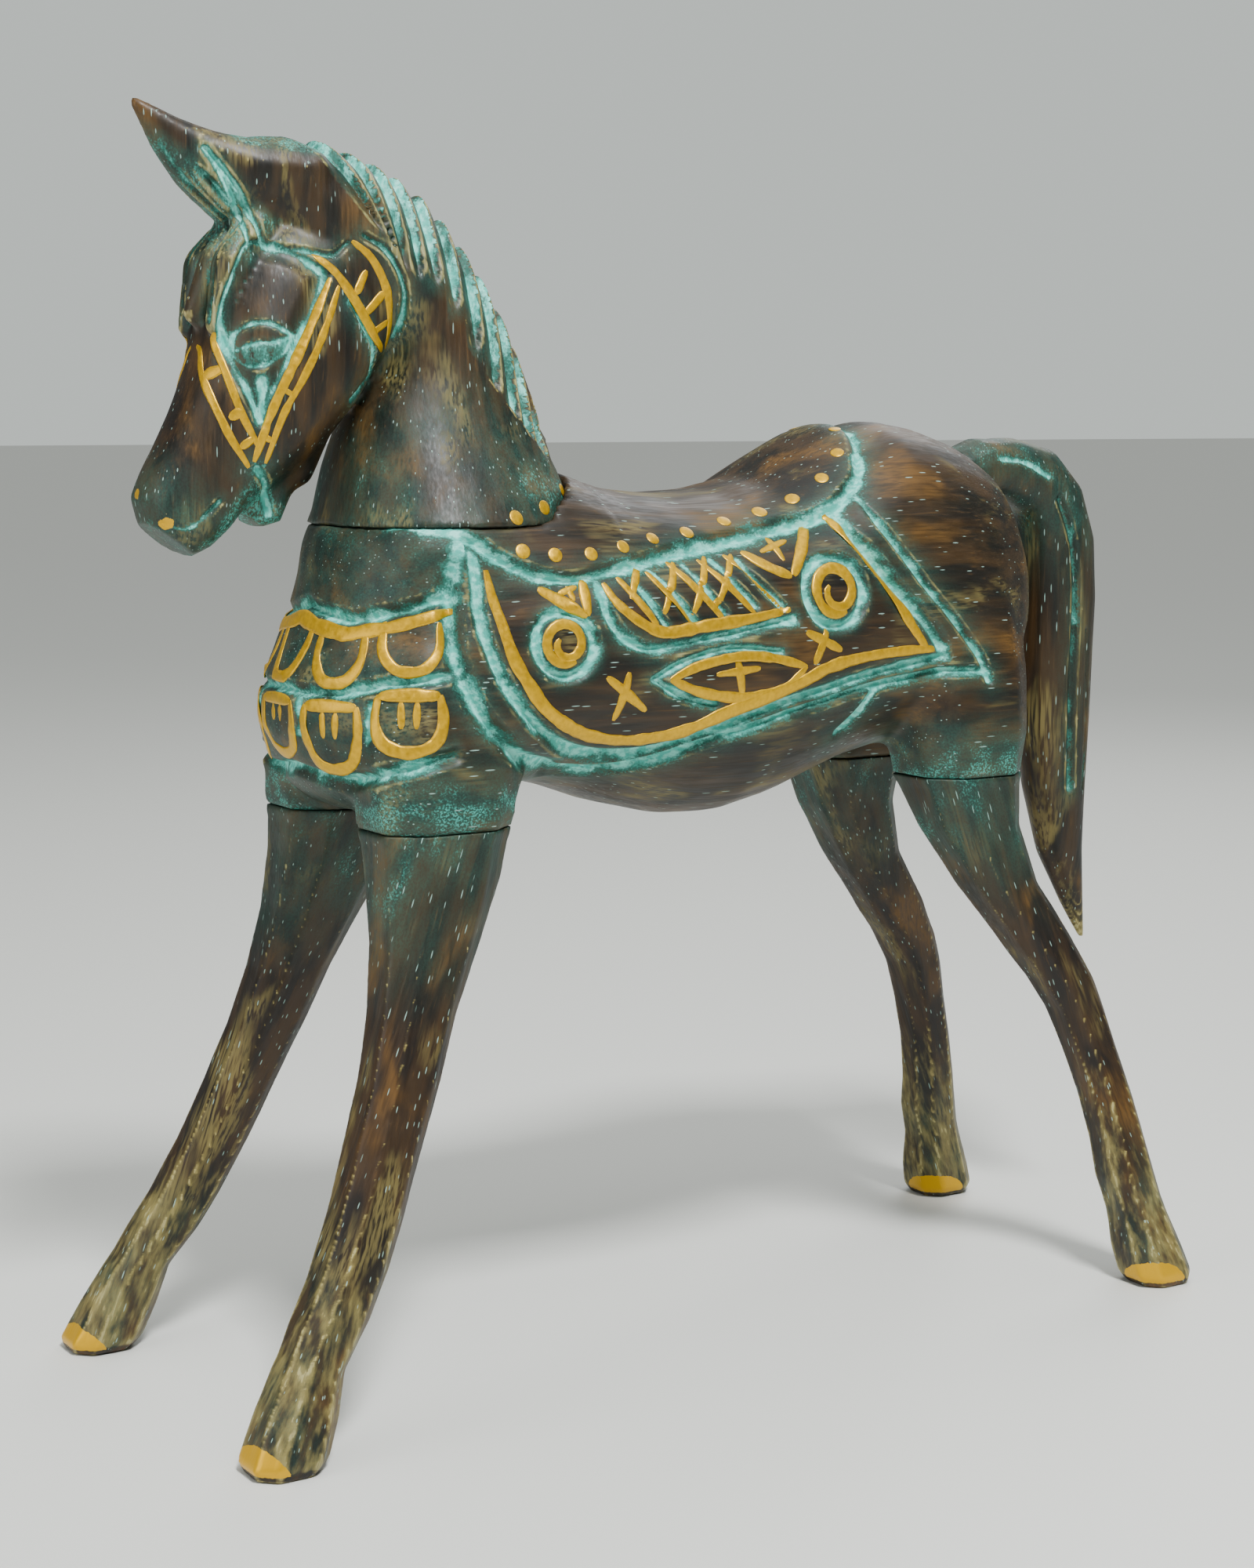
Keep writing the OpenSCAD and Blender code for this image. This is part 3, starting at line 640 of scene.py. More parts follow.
brow_panel = flow([
    (10.3, 4.8), (10.4, 9.3), (10.7, 13.9), (12, 17.4), (15.5, 22.3), (26, 20.6), (32.4, 17.9),
    (39, 11.6), (43, 5.2),
    (46.5, -1.2), (42, 0.2), (34, 1.5), (26, 2.5), (19, 3.4), (10.3, 4.8),
], 1)
lid_over = flow([(38, 11.8), (34.5, 14), (30.5, 13), (27.6, 9.5), (26.8, 4)], 1)
lid_under = flow([(38, 11.8), (38.3, 8.5), (35.5, 5.2), (31, 3.6), (26.8, 4)], 1)
eye_fold = flow([(36.5, 12), (33.2, 9.6), (30.5, 6.4), (26.8, 4)], 1)
throat_line = flow([(-2.5, 2), (-3, -4), (0, -11), (6, -17), (12.5, -19.5), (20, -19), (29, -17.5)])
cheek_strokes = [
    (brow_panel, 2.3, 1.7, 0.85, 1.2), (flow([(39, 4), (43, 1), (46.5, -1.2)], 1), 3.2, 1.8, 1, 1.2),
    (lid_over, 1.5, 1.0, 0.8, 0.8), (lid_under, 1.7, 1.3, 0.8, 0.8), (eye_fold, 1.3, 0.9, 0.8, 0.8),
    (flow([(3.3, 41), (6, 32), (9, 24.5), (12.8, 18.5)]), 1.9, 1.5, 1, 1.2),
    (flow([(3.3, 41), (7, 33), (10.4, 27), (15.5, 21.5)]), 1.7, 1.2, 0.9, 1.2),
    (flow([(12, 17.4), (8.5, 11), (5.5, 5.5), (1, 4)]), 1.8, 1.0, 0.8, 2),
    (flow([(12, -3.5), (14.5, -9), (16.5, -14), (21, -18)]), 1.6, 0.9, 1, 2),
    (flow([(77, 2.5), (75.5, -2), (71, -3.6), (66, -4.5)], 1), 1.5, 1.2, 0.7, 1.5),
    (flow([(55.5, -7), (57, -13), (60.5, -18)], 1), 2.4, 1.2, 1, 3),
]


def on_face(place):
    """The head drawing's coordinates of points in space."""
    from_poll = place - HEAD_START
    return np.stack([from_poll @ FACE_DOWN, from_poll @ FACE_FRONT], axis=1)


def near_head_strokes(place):
    in_mane = line_distance(place[:, 1:], CREST, 31) < 28
    return in_mane | (beside(on_face(place), cheek_strokes, 0.8) & (place[:, 1] < -74))


head = Carving("neck_and_head", 1.07, 3, neck_joint, near_head_strokes)
# Filler in the corner behind the neck: the neck's foot runs out to the rim of its seat
x, y, z = head.place.T
fill = np.interp(z, [204, 208, 213, 218, 226, 238], [0, 1.2, 3.0, 3.4, 1.4, 0])
head.place[:, 1] += fill * smooth_step(head.out[:, 1], 0.0, 0.5) * smooth_step(y, -60, -44)
head.write_place()
x, y, z = head.place.T
profile = np.stack([y, z], axis=1)
from_crest = line_distance(profile, CREST, 40)
maned = (1 - smooth_step(from_crest, 22, 27)) * smooth_step(y, -104, -96) * smooth_step(z, 214, 222)
head.round_off(maned, 52)
x, y, z = head.place.T
profile = np.stack([y, z], axis=1)

# Lock lines run from the crest; a point lies between two of them
starts = np.array([(start, np.interp(start, CREST[:, 0], CREST[:, 1])) for start in LOCK_STARTS])
fall = np.radians(LOCK_FALLS)
ways = np.stack([np.cos(fall), np.sin(fall)], axis=1)
offset = profile[:, None, :] - starts[None, :, :]
beyond = ways[None, :, 0] * offset[..., 1] - ways[None, :, 1] * offset[..., 0]
lock = np.clip((beyond > 0).sum(1) - 1, 0, len(LOCK_STARTS) - 2)
rows = np.arange(len(lock))
left, right = beyond[rows, lock], beyond[rows, lock + 1]
between = np.clip(left / np.maximum(left - right, 1e-6), 0, 1)
down = (offset[rows, lock] * ways[lock]).sum(1) / (LOCK_LENGTH * (1 + 0.16 * np.sin(7.3 * lock)))
in_mane = (beyond[:, 0] > 0) & (beyond[:, -1] < 0)
tip = 1 - 0.30 * (2 * between - 1) ** 2
in_lock = (1 - smooth_step(down, tip - 0.15, tip)) * smooth_step(down, -0.45, -0.1) * in_mane
scoop = np.clip(between / 0.78, 0, 1) ** 1.3 * (1 - smooth_step(between, 0.82, 1)) * in_lock
head.sunk = np.maximum(head.sunk, 2.0 * scoop)
fading = 0.75 + 0.35 * lumps(head.place, (6, 6, 12), 12)
lock_paint = smooth_step(between, 0.48, 0.8) * in_lock * fading * smooth_step(down, -0.4, 0.15)
head.cut = np.maximum(head.cut, lock_paint)
mane_wash = 0.45 * in_mane * smooth_step(down, -0.45, 0) * (1 - smooth_step(down, 0.9, 1.2))
head.haze = np.maximum(head.haze, mane_wash)

# The head's own drawing
face_view = on_face(head.place)
cheek = smooth_step(np.abs(head.out[:, 0]), 0.25, 0.55) * (y < -74)
from_panel = line_distance(face_view, brow_panel, 8)
in_panel = cheek * inside(face_view, brow_panel)
head.sunk = np.maximum(head.sunk, 1.3 * in_panel * (1 - 0.8 * smooth_step(from_panel, 1.0, 4.5)))
for stroke in cheek_strokes:
    head.gouge(face_view, stroke, cheek)
head.gouge(face_view, (throat_line, 2.0, 1.5, 0.8, 2.5), smooth_step(np.abs(x), 3, 6))
eye = np.vstack([eye_fold, lid_under[::-1]])
head.cut = np.maximum(head.cut, 0.55 * cheek * inside(face_view, eye))

# The forelock is parted by cuts that run down the forehead
front_view = np.stack([x, face_view[:, 0]], axis=1)
on_forelock = smooth_step(face_view[:, 1], 17.5, 19.5) * smooth_step(face_view[:, 0], 4, 8)
head.haze = np.maximum(head.haze, 0.75 * on_forelock * (1 - smooth_step(face_view[:, 0], 16, 26)))
for start, end in ((-2.6, -4.5), (2.6, 4.5), (-6.5, -8.5), (6.5, 8.5)):
    parting = flow([(start, 8), ((start + end) / 2, 18), (end, 34)])
    head.gouge(front_view, (parting, 1.9, 1.4, 0.6, 1.5), on_forelock)

poll_top = smooth_step(head.out[:, 2], 0.4, 0.75) * smooth_step(z, 282, 287) * smooth_step(y, -121, -114)
head.haze = np.maximum(head.haze, 0.95 * poll_top * (1 - smooth_step(y, -96, -86)))
low_neck = (1 - smooth_step(z, 212, 252)) * smooth_step(y, -100, -96)
low_neck = low_neck * (1 - smooth_step(face_view[:, 1], -26, -22))
head.haze = np.maximum(head.haze, 0.9 * low_neck * (0.5 + 0.5 * lumps(head.place, (11, 11, 26), 4)))
muzzle = smooth_step(face_view[:, 0], 58, 78)
head.haze = np.maximum(head.haze, 0.6 * muzzle)
chin = smooth_step(face_view[:, 0], 50, 58) * (1 - smooth_step(face_view[:, 1], -9, -5))
head.haze = np.maximum(head.haze, 0.95 * chin)
# Paler top of the head and ears: rubbed wood, and also a painted highlight where light from above falls on it.
head.worn = 0.45 * smooth_step(z, 270, 280) * (1 - smooth_step(y, -122, -106))
flats = 0.14 * (1 + lumps(head.place, (7, 7, 12), 8)) * (1 - in_mane)
head.sunk += flats + 0.04 * (1 + lumps(head.place, (2, 2, 4), 9))
# A dab of gold at each side of the muzzle and one on the tip of the nose
side_dab = np.linalg.norm(face_view - np.array([76.5, 1.8]), axis=1)
tip_dab = np.linalg.norm(np.stack([face_view[:, 0] - 73.5, x, face_view[:, 1] - 8.5], axis=1), axis=1)
for from_dab in (side_dab, tip_dab):
    head.gold = np.maximum(head.gold, DAB_R - from_dab)
head.finish("neck_and_head_carved", ["neck_and_head"], NECK_WOOD)

# %% [markdown]
# ## The legs
# The legs were shaped with long knife strokes, so their flats stay and are only eased a little.
# The wash fades down from the joint, and the lower legs were rubbed until pale wood shows. Each
# hoof has a gold half-moon painted on its toe: a patch that is highest in the middle of the toe
# and falls to the ground at both sides.

# %% Carve and paint the legs
MOON_HEIGHT = 7.4  # mm above the ground in the middle of the toe
MOON_HALF = 66  # degrees round the hoof from the middle of the toe


def carve_leg(node, toe_turn, material):
    """One leg. toe_turn is where the gold half-moon faces, in degrees from straight ahead."""
    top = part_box(node)[1].z / MM
    leg = Carving(node, 0.62, 5, lambda place: smooth_step(place[:, 2], top - 3.5, top - 1.2))
    x, y, z = leg.place.T
    sole = leg.place[z < 4].mean(0)
    leg.haze = 0.8 * smooth_step(z, top - 46, top - 8) * (0.6 + 0.4 * lumps(leg.place, (7, 7, 16), 2))
    low_wash = 0.4 * (1 - smooth_step(z, 20, 52)) * (0.5 + 0.5 * lumps(leg.place, (4, 4, 14), 6))
    leg.haze = np.maximum(leg.haze, low_wash)
    streaks = 0.5 + 0.5 * lumps(leg.place, (3.5, 3.5, 30), 7)
    leg.worn = (1 - smooth_step(z, 24, 78)) * (0.35 + 0.35 * streaks) + 0.12 * streaks
    leg.sunk += 0.13 * (1 + lumps(leg.place, (5, 5, 17), 1)) + 0.04 * (1 + lumps(leg.place, (2, 2, 6), 2))
    leg.sunk *= smooth_step(z, 0.5, 3)
    turn = np.degrees(np.arctan2(x - sole[0], -(y - sole[1]))) - toe_turn
    turn = (turn + 180) % 360 - 180
    height = MOON_HEIGHT * np.sqrt(np.clip(1 - (turn / MOON_HALF) ** 2, 0, 1))
    leg.gold = np.where(np.abs(turn) < 70, (height - z), -3)
    leg.gold = np.minimum(leg.gold, (z - 1.6) * 1.5)
    leg.gold = np.minimum(leg.gold, (MOON_HALF - np.abs(turn)) * 0.15)
    # Painted shade: the lowest 2 mm of each hoof keeps only the dark stain, without pale rubbing or wash,
    # standing in for the shade along the hoof's underside.
    sole_shade_painted = 1 - smooth_step(z, 1.0, 2.4)
    leg.worn *= 1 - sole_shade_painted
    leg.haze *= 1 - sole_shade_painted
    leg.finish(node + "_carved", [node], material)


carve_leg("front_left_leg", 14, FRONT_LEG_WOOD)
carve_leg("front_right_leg", 14, FRONT_LEG_WOOD)
carve_leg("rear_left_leg", 48, REAR_LEG_WOOD)
carve_leg("rear_right_leg", 48, REAR_LEG_WOOD)

# %% [markdown]
# ## The tail
# A smooth, bent teardrop with one long cut down each side, a finer one behind it and a short one
# along its root, where the turquoise is thickest.

# %% Carve the tail
tail = Carving("tail", 0.62, 10, lambda place: 1 - smooth_step(place[:, 1], 101, 106))
x, y, z = tail.place.T
profile = np.stack([y, z], axis=1)
hair = smooth_step(np.abs(tail.out[:, 0]), 0.3, 0.6)
for stroke in (
    (flow([(124, 208), (128.5, 196), (130, 180), (129.5, 160), (130, 142), (131, 128)]), 3.2, 1.8, 0.5, 3),
    (flow([(120, 214), (112, 218), (104, 219)]), 2.2, 0.9, 1, 3),
    (flow([(134.5, 172), (136, 150), (136.3, 128)]), 1.6, 0.7, 0.3, 1.5),
):
    tail.gouge(profile, stroke, hair)
root_wash = 0.75 * smooth_step(z, 176, 206) * (0.6 + 0.4 * lumps(tail.place, (7, 7, 10), 3))
tail.haze = np.maximum(tail.haze, root_wash)
tail.worn = 0.35 * (1 - smooth_step(z, 100, 140))
tail.sunk += 0.13 * (1 + lumps(tail.place, (6, 6, 16), 4))
tail.finish("tail_carved", ["tail"], NECK_WOOD)

# %% [markdown]
# ## Gold brush lines
# The painter laid the gold on last, with a loaded brush: each line is a low bead of thick paint
# with blunt ends, a little wider here and thinner there. A line follows a path on the wood, which
# is work for Geometry Nodes: the drawn line floats beside the horse, every point of it is thrown
# against the wood along its own `toward` direction, and a flat oval is swept along the landed
# line. The carved block itself is the target, so the paint dips where a small cut crosses it.

# %% The gold paint
def gold_paint():
    """Satin gold paint: metal flakes in lacquer, so it is bright but not a mirror."""
    material = bpy.data.materials.new("satin_gold_paint")
    material.use_nodes = True
    tree = material.node_tree
    shader = tree.nodes["Principled BSDF"]
    place = add_node(tree, "ShaderNodeTexCoord").outputs["Object"]
    bristles = {"Vector": place, "Scale": 1 / (1.2 * MM), "Detail": 3.0}
    streaks = add_node(tree, "ShaderNodeTexNoise", bristles).outputs["Fac"]
    golds = {0: streaks, 6: paint_colour("#a67c00"), 7: paint_colour("#e6b600")}
    tint = add_node(tree, "ShaderNodeMix", golds, data_type="RGBA")
    rough = add_node(tree, "ShaderNodeMapRange", {"Value": streaks, 1: 0.3, 2: 0.7, 3: 0.30, 4: 0.48})
    bump = add_node(tree, "ShaderNodeBump", {"Height": streaks, "Strength": 0.35, "Distance": 0.2 * MM})
    for socket, made in (("Base Color", tint.outputs[2]), ("Roughness", rough.outputs[0])):
        tree.links.new(made, shader.inputs[socket])
    tree.links.new(bump.outputs[0], shader.inputs["Normal"])
    shader.inputs["Metallic"].default_value = 0.55
    return material


GOLD_PAINT = gold_paint()


# %% A node tree that lays a line of paint on wood
def new_tree(name, inputs):
    """A geometry tree with named inputs, its group input and output, and each input's identifier."""
    tree = bpy.data.node_groups.new(name, "GeometryNodeTree")
    keys = {}
    for label, kind, value in inputs:
        socket = tree.interface.new_socket(label, in_out="INPUT", socket_type=kind)
        keys[label] = socket.identifier
        if value is not None:
            socket.default_value = value
    tree.interface.new_socket("Geometry", in_out="OUTPUT", socket_type="NodeSocketGeometry")
    return tree, keys, tree.nodes.new("NodeGroupInput"), tree.nodes.new("NodeGroupOutput")


def throw_on_wood(tree, geometry, group):
    """Nodes that move each point along its own direction until it meets the wood."""
    wood = {"Object": group.outputs["Wood"]}
    wood = add_node(tree, "GeometryNodeObjectInfo", wood, transform_space="RELATIVE").outputs["Geometry"]
    toward = add_node(
        tree, "GeometryNodeInputNamedAttribute", {"Name": "toward"}, data_type="FLOAT_VECTOR"
    ).outputs[0]
    hit = add_node(tree, "GeometryNodeRaycast", {
        "Target Geometry": wood, "Ray Direction": toward, "Ray Length": 0.2,
    })
    missed = {0: hit.outputs["Is Hit"]}
    missed = add_node(tree, "FunctionNodeBooleanMath", missed, operation="NOT").outputs[0]
    landed = {"Geometry": geometry, "Position": hit.outputs["Hit Position"]}
    landed = add_node(tree, "GeometryNodeSetPosition", landed).outputs[0]
    landed = {"Geometry": landed, "Selection": missed}
    landed = add_node(tree, "GeometryNodeDeleteGeometry", landed).outputs[0]
    facing = add_node(tree, "GeometryNodeSampleNearestSurface", {
        "Mesh": wood, "Value": add_node(tree, "GeometryNodeInputNormal").outputs[0],
    }, data_type="FLOAT_VECTOR").outputs["Value"]
    return landed, facing


def brush_line_tree():
    tree, keys, group, out = new_tree("brush line on wood", [
        ("Geometry", "NodeSocketGeometry", None), ("Wood", "NodeSocketObject", None),
        ("Step", "NodeSocketFloat", 0.7 * MM), ("Thickness share", "NodeSocketFloat", 0.16),
        ("Paint", "NodeSocketMaterial", None),
    ])
    curve = add_node(tree, "GeometryNodeMeshToCurve", {"Mesh": group.outputs["Geometry"]}).outputs[0]
    even = {"Curve": curve, "Length": group.outputs["Step"]}
    curve = add_node(tree, "GeometryNodeResampleCurve", even, mode="LENGTH").outputs[0]
    landed, facing = throw_on_wood(tree, curve, group)
    upright = {"Curve": landed, "Normal": facing}
    curve = add_node(tree, "GeometryNodeSetCurveNormal", upright, mode="FREE").outputs[0]
    width = add_node(tree, "GeometryNodeInputNamedAttribute", {"Name": "width"}, data_type="FLOAT").outputs[0]
    wobble = add_node(tree, "ShaderNodeTexNoise", {"Scale": 1 / (5 * MM), "Detail": 2.0}).outputs["Fac"]
    factor = add_node(tree, "GeometryNodeSplineParameter").outputs["Factor"]
    arch = add_node(tree, "ShaderNodeMath", {0: factor, 1: math.pi}, operation="MULTIPLY")
    arch = add_node(tree, "ShaderNodeMath", {0: arch.outputs[0]}, operation="SINE")
    blunt = add_node(tree, "ShaderNodeMath", {0: arch.outputs[0], 1: 0.22}, operation="POWER")
    blunt = add_node(tree, "ShaderNodeMath", {0: blunt.outputs[0], 1: 0.35}, operation="MAXIMUM")
    uneven = add_node(tree, "ShaderNodeMapRange", {"Value": wobble, 1: 0.3, 2: 0.7, 3: 0.50, 4: 0.70})
    radius = add_node(tree, "ShaderNodeMath", {0: width, 1: uneven.outputs[0]}, operation="MULTIPLY")
    radius = {0: radius.outputs[0], 1: blunt.outputs[0]}
    radius = add_node(tree, "ShaderNodeMath", radius, operation="MULTIPLY")
    oval = add_node(tree, "GeometryNodeCurvePrimitiveCircle", {"Resolution": 10, "Radius": 1.0})
    flat = add_node(tree, "ShaderNodeCombineXYZ", {"X": group.outputs["Thickness share"], "Y": 1.0, "Z": 1.0})
    oval = add_node(tree, "GeometryNodeTransform", {"Geometry": oval.outputs[0], "Scale": flat.outputs[0]})
    bead = add_node(tree, "GeometryNodeCurveToMesh", {
        "Curve": curve, "Profile Curve": oval.outputs[0], "Scale": radius.outputs[0], "Fill Caps": True,
    })
    bead = add_node(tree, "GeometryNodeSetShadeSmooth", {"Geometry": bead.outputs[0]})
    bead = add_node(tree, "GeometryNodeRealizeInstances", {"Geometry": bead.outputs[0]})
    painted = {"Geometry": bead.outputs[0], "Material": group.outputs["Paint"]}
    bead = add_node(tree, "GeometryNodeSetMaterial", painted)
    tree.links.new(bead.outputs[0], out.inputs[0])
    return tree, keys


def dot_tree():
    tree, keys, group, out = new_tree("paint dot on wood", [
        ("Geometry", "NodeSocketGeometry", None), ("Wood", "NodeSocketObject", None),
        ("Height share", "NodeSocketFloat", 0.13), ("Paint", "NodeSocketMaterial", None),
    ])
    landed, facing = throw_on_wood(tree, group.outputs["Geometry"], group)
    width = add_node(tree, "GeometryNodeInputNamedAttribute", {"Name": "width"}, data_type="FLOAT").outputs[0]
    drop = add_node(tree, "GeometryNodeMeshUVSphere", {"Segments": 20, "Rings": 10, "Radius": 0.5})
    flat = add_node(tree, "ShaderNodeCombineXYZ", {"X": 1.0, "Y": 1.0, "Z": group.outputs["Height share"]})
    drop = add_node(tree, "GeometryNodeTransform", {"Geometry": drop.outputs[0], "Scale": flat.outputs[0]})
    drop = add_node(tree, "GeometryNodeSetShadeSmooth", {"Geometry": drop.outputs[0]})
    upright = add_node(tree, "FunctionNodeAlignRotationToVector", {"Vector": facing}, axis="Z")
    dots = add_node(tree, "GeometryNodeInstanceOnPoints", {
        "Points": landed, "Instance": drop.outputs[0], "Rotation": upright.outputs[0], "Scale": width,
    })
    dots = add_node(tree, "GeometryNodeRealizeInstances", {"Geometry": dots.outputs[0]})
    painted = {"Geometry": dots.outputs[0], "Material": group.outputs["Paint"]}
    dots = add_node(tree, "GeometryNodeSetMaterial", painted)
    tree.links.new(dots.outputs[0], out.inputs[0])
    return tree, keys


LINE_TREE, DOT_TREE = brush_line_tree(), dot_tree()
print("brush line inputs:", list(LINE_TREE[1]))


# %% [markdown]
# Each gold line is listed with its width in mm. A side line is used twice, left and right. The
# lines start 80 mm out from the middle and are thrown inwards.

# %% Throw lines and dots at the wood
THROW_FROM = 80.0


def thrown_from_side(points):
    """Both flanks: (mm from the chest, mm above the ground) with the direction inwards."""
    for side in (1, -1):
        yield [((side * THROW_FROM, a + CHEST, h), (-side, 0, 0)) for a, h in points]


def thrown_at_head(points):
    """Both cheeks: (mm down the face, mm towards the forehead)."""
    for side in (1, -1):
        places = [HEAD_START + s * FACE_DOWN + v * FACE_FRONT for s, v in points]
        yield [((side * THROW_FROM, p[1], p[2]), (-side, 0, 0)) for p in places]


def thrown_at_chest(points):
    """Round the chest: (degrees, mm above the ground), thrown at the collar's axis."""
    line = []
    for angle, h in points:
        a, b = math.sin(math.radians(angle)), math.cos(math.radians(angle))
        line.append(((THROW_FROM * a, COLLAR_AXIS - THROW_FROM * b, h), (-a, b, 0)))
    yield line


def lay_paint(name, tree_and_keys, lines, wood_node):
    """Runs a tree on drawn lines (or single dots) and keeps the result as a plain mesh."""
    tree, keys = tree_and_keys
    places, edges, toward, widths = [], [], [], []
    for line, width in lines:
        first = len(places)
        places += [Vector(p) * MM for p, _ in line]
        toward += [d for _, d in line]
        widths += [width * MM] * len(line)
        edges += [(first + i, first + i + 1) for i in range(len(line) - 1)]
    mesh = bpy.data.meshes.new(name)
    mesh.from_pydata(places, edges, [])
    aim = mesh.attributes.new("toward", "FLOAT_VECTOR", "POINT")
    aim.data.foreach_set("vector", np.array(toward, np.float32).ravel())
    mesh.attributes.new("width", "FLOAT", "POINT").data.foreach_set("value", np.array(widths, np.float32))
    drawn = collection_link(mesh, name + "_drawn")
    modifier = drawn.modifiers.new("paint", "NODES")
    modifier.node_group = tree
    modifier[keys["Wood"]] = bpy.data.objects[wood_node + "_carved"]
    modifier[keys["Paint"]] = GOLD_PAINT
    bpy.context.view_layer.update()
    shown = drawn.evaluated_get(bpy.context.evaluated_depsgraph_get())
    made = bpy.data.meshes.new_from_object(shown)
    bpy.data.objects.remove(drawn)
    piece = collection_link(made, name)
    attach(piece, "root")
    print(name, "lines:", len(lines), "faces:", len(made.polygons))
    return piece


def drawn(throw, points, width, smooth=True):
    """One drawing, thrown at each place that it belongs to."""
    points = flow(points, 1.2) if smooth else points
    return [(line, width) for line in throw(points)]


def spiral(centre, radius, start=-60, turns=1.45, squash=1.0):
    """The curl inside a roundel: it starts wide at the lower right and winds inwards."""
    t = np.linspace(0, 1, 16)
    r = radius * (1 - 0.62 * np.clip((t - 0.45) / 0.55, 0, 1))
    a = np.radians(start - 360 * turns * t)
    return np.stack([centre[0] + r * np.cos(a), centre[1] + r * np.sin(a) * squash], axis=1)


# %% Paint the blanket
blanket = []
blanket += drawn(thrown_from_side, gold_front, 3.0)
blanket += drawn(thrown_from_side, gold_rear, 2.6)
blanket += drawn(thrown_from_side, spiral(FIRST_ROUNDEL, 4.7), 2.1)
blanket += drawn(thrown_from_side, spiral(SECOND_ROUNDEL, 5.7), 2.4)
blanket += drawn(thrown_from_side, [
    (67, 191.8), (69.3, 187.2), (75, 182.5), (81.5, 180), (92.5, 181), (106.5, 182.3), (118, 184),
], 2.6)
for line in (
    [(71, 193), (79.5, 181.5)], [(79.5, 194), (89.5, 181.3)], [(86.5, 196), (98, 182.5)],
    [(95.5, 196.3), (107.5, 183.3)], [(103.5, 197.2), (116.5, 184)], [(77.5, 195), (73.2, 188)],
    [(88.4, 195.9), (81.4, 184.3)], [(98, 197), (89.5, 183.8)], [(105.8, 197.3), (95.8, 184.5)],
):
    blanket += drawn(thrown_from_side, line, 1.7)
for line, width in (
    ([(50, 191), (55.5, 187.8), (61, 184.3)], 2.6), ([(61.8, 192.6), (61.2, 184.5)], 2.4),
    ([(54.8, 189.6), (60, 191.2)], 1.4), ([(57.5, 191.3), (58.6, 188)], 1.4),
    ([(109, 197.8), (114.5, 194.2), (120.3, 191.8)], 2.6),
    ([(130.2, 203.2), (125.5, 197.5), (120.8, 192)], 2.8),
    ([(114.3, 197.6), (123.2, 200.2)], 1.7), ([(118.4, 201), (119.7, 195.5)], 1.6),
):
    blanket += drawn(thrown_from_side, line, width)
lozenge_top = [(82.5, 168.8), (91, 171.8), (102.3, 173.4), (112, 172.6), (122.5, 170)]
lozenge_foot = [(82.5, 168.8), (92, 165.2), (104, 163.4), (115.5, 165), (122.5, 170)]
blanket += drawn(thrown_from_side, lozenge_top, 2.3)
blanket += drawn(thrown_from_side, lozenge_foot, 2.4)
blanket += drawn(thrown_from_side, [(101.5, 173), (103.4, 164)], 1.9)
blanket += drawn(thrown_from_side, [(95.5, 169.4), (108.3, 170.3)], 1.7)
for line in (
    [(65, 170.3), (70.5, 166.2), (76.4, 161.7)], [(71, 171.2), (69.6, 165), (67.9, 159.8)],
    [(122.3, 178.4), (128, 175.9), (133.5, 173.4)], [(129, 178.8), (127.3, 175), (124.9, 170.4)],
):
    blanket += drawn(thrown_from_side, line, 2.1)
lay_paint("gold_blanket_lines", LINE_TREE, blanket, "trunk")

# %% [markdown]
# The collar has two rows: round scallops that hang from the top line, and square tabs with two
# short strokes inside. Both rows repeat the same shape at even steps round the chest.

# %% Paint the collar
collar = drawn(thrown_at_chest, collar_line(COLLAR_TOP), 3.2)
for middle in (-56, -28, 0, 28, 56):
    top = float(collar_height(middle, COLLAR_TOP))
    waist = float(collar_height(middle, COLLAR_WAIST))
    foot = float(collar_height(middle, COLLAR_FOOT))
    collar += drawn(thrown_at_chest, [
        (middle - 10.5, top), (middle - 10, top - 6), (middle - 5.5, waist + 3), (middle, waist + 2),
        (middle + 5.5, waist + 3), (middle + 10, top - 6), (middle + 10.5, top),
    ], 2.5)
    collar += drawn(thrown_at_chest, [
        (middle - 10, waist - 3), (middle - 10.8, waist - 9), (middle - 8, foot + 4), (middle, foot + 2),
        (middle + 8, foot + 4), (middle + 10.8, waist - 9), (middle + 10, waist - 3),
    ], 2.7)
    collar += drawn(thrown_at_chest, [
        (middle - 10, waist - 3.2), (middle, waist - 3), (middle + 10, waist - 3.2),
    ], 2.6)
    for shift in (-2.6, 2.6):
        fringe = [(middle + shift, waist - 4.5), (middle + shift * 0.9, waist - 10.5)]
        collar += drawn(thrown_at_chest, fringe, 1.5)
lay_paint("gold_collar_lines", LINE_TREE, collar, "trunk")

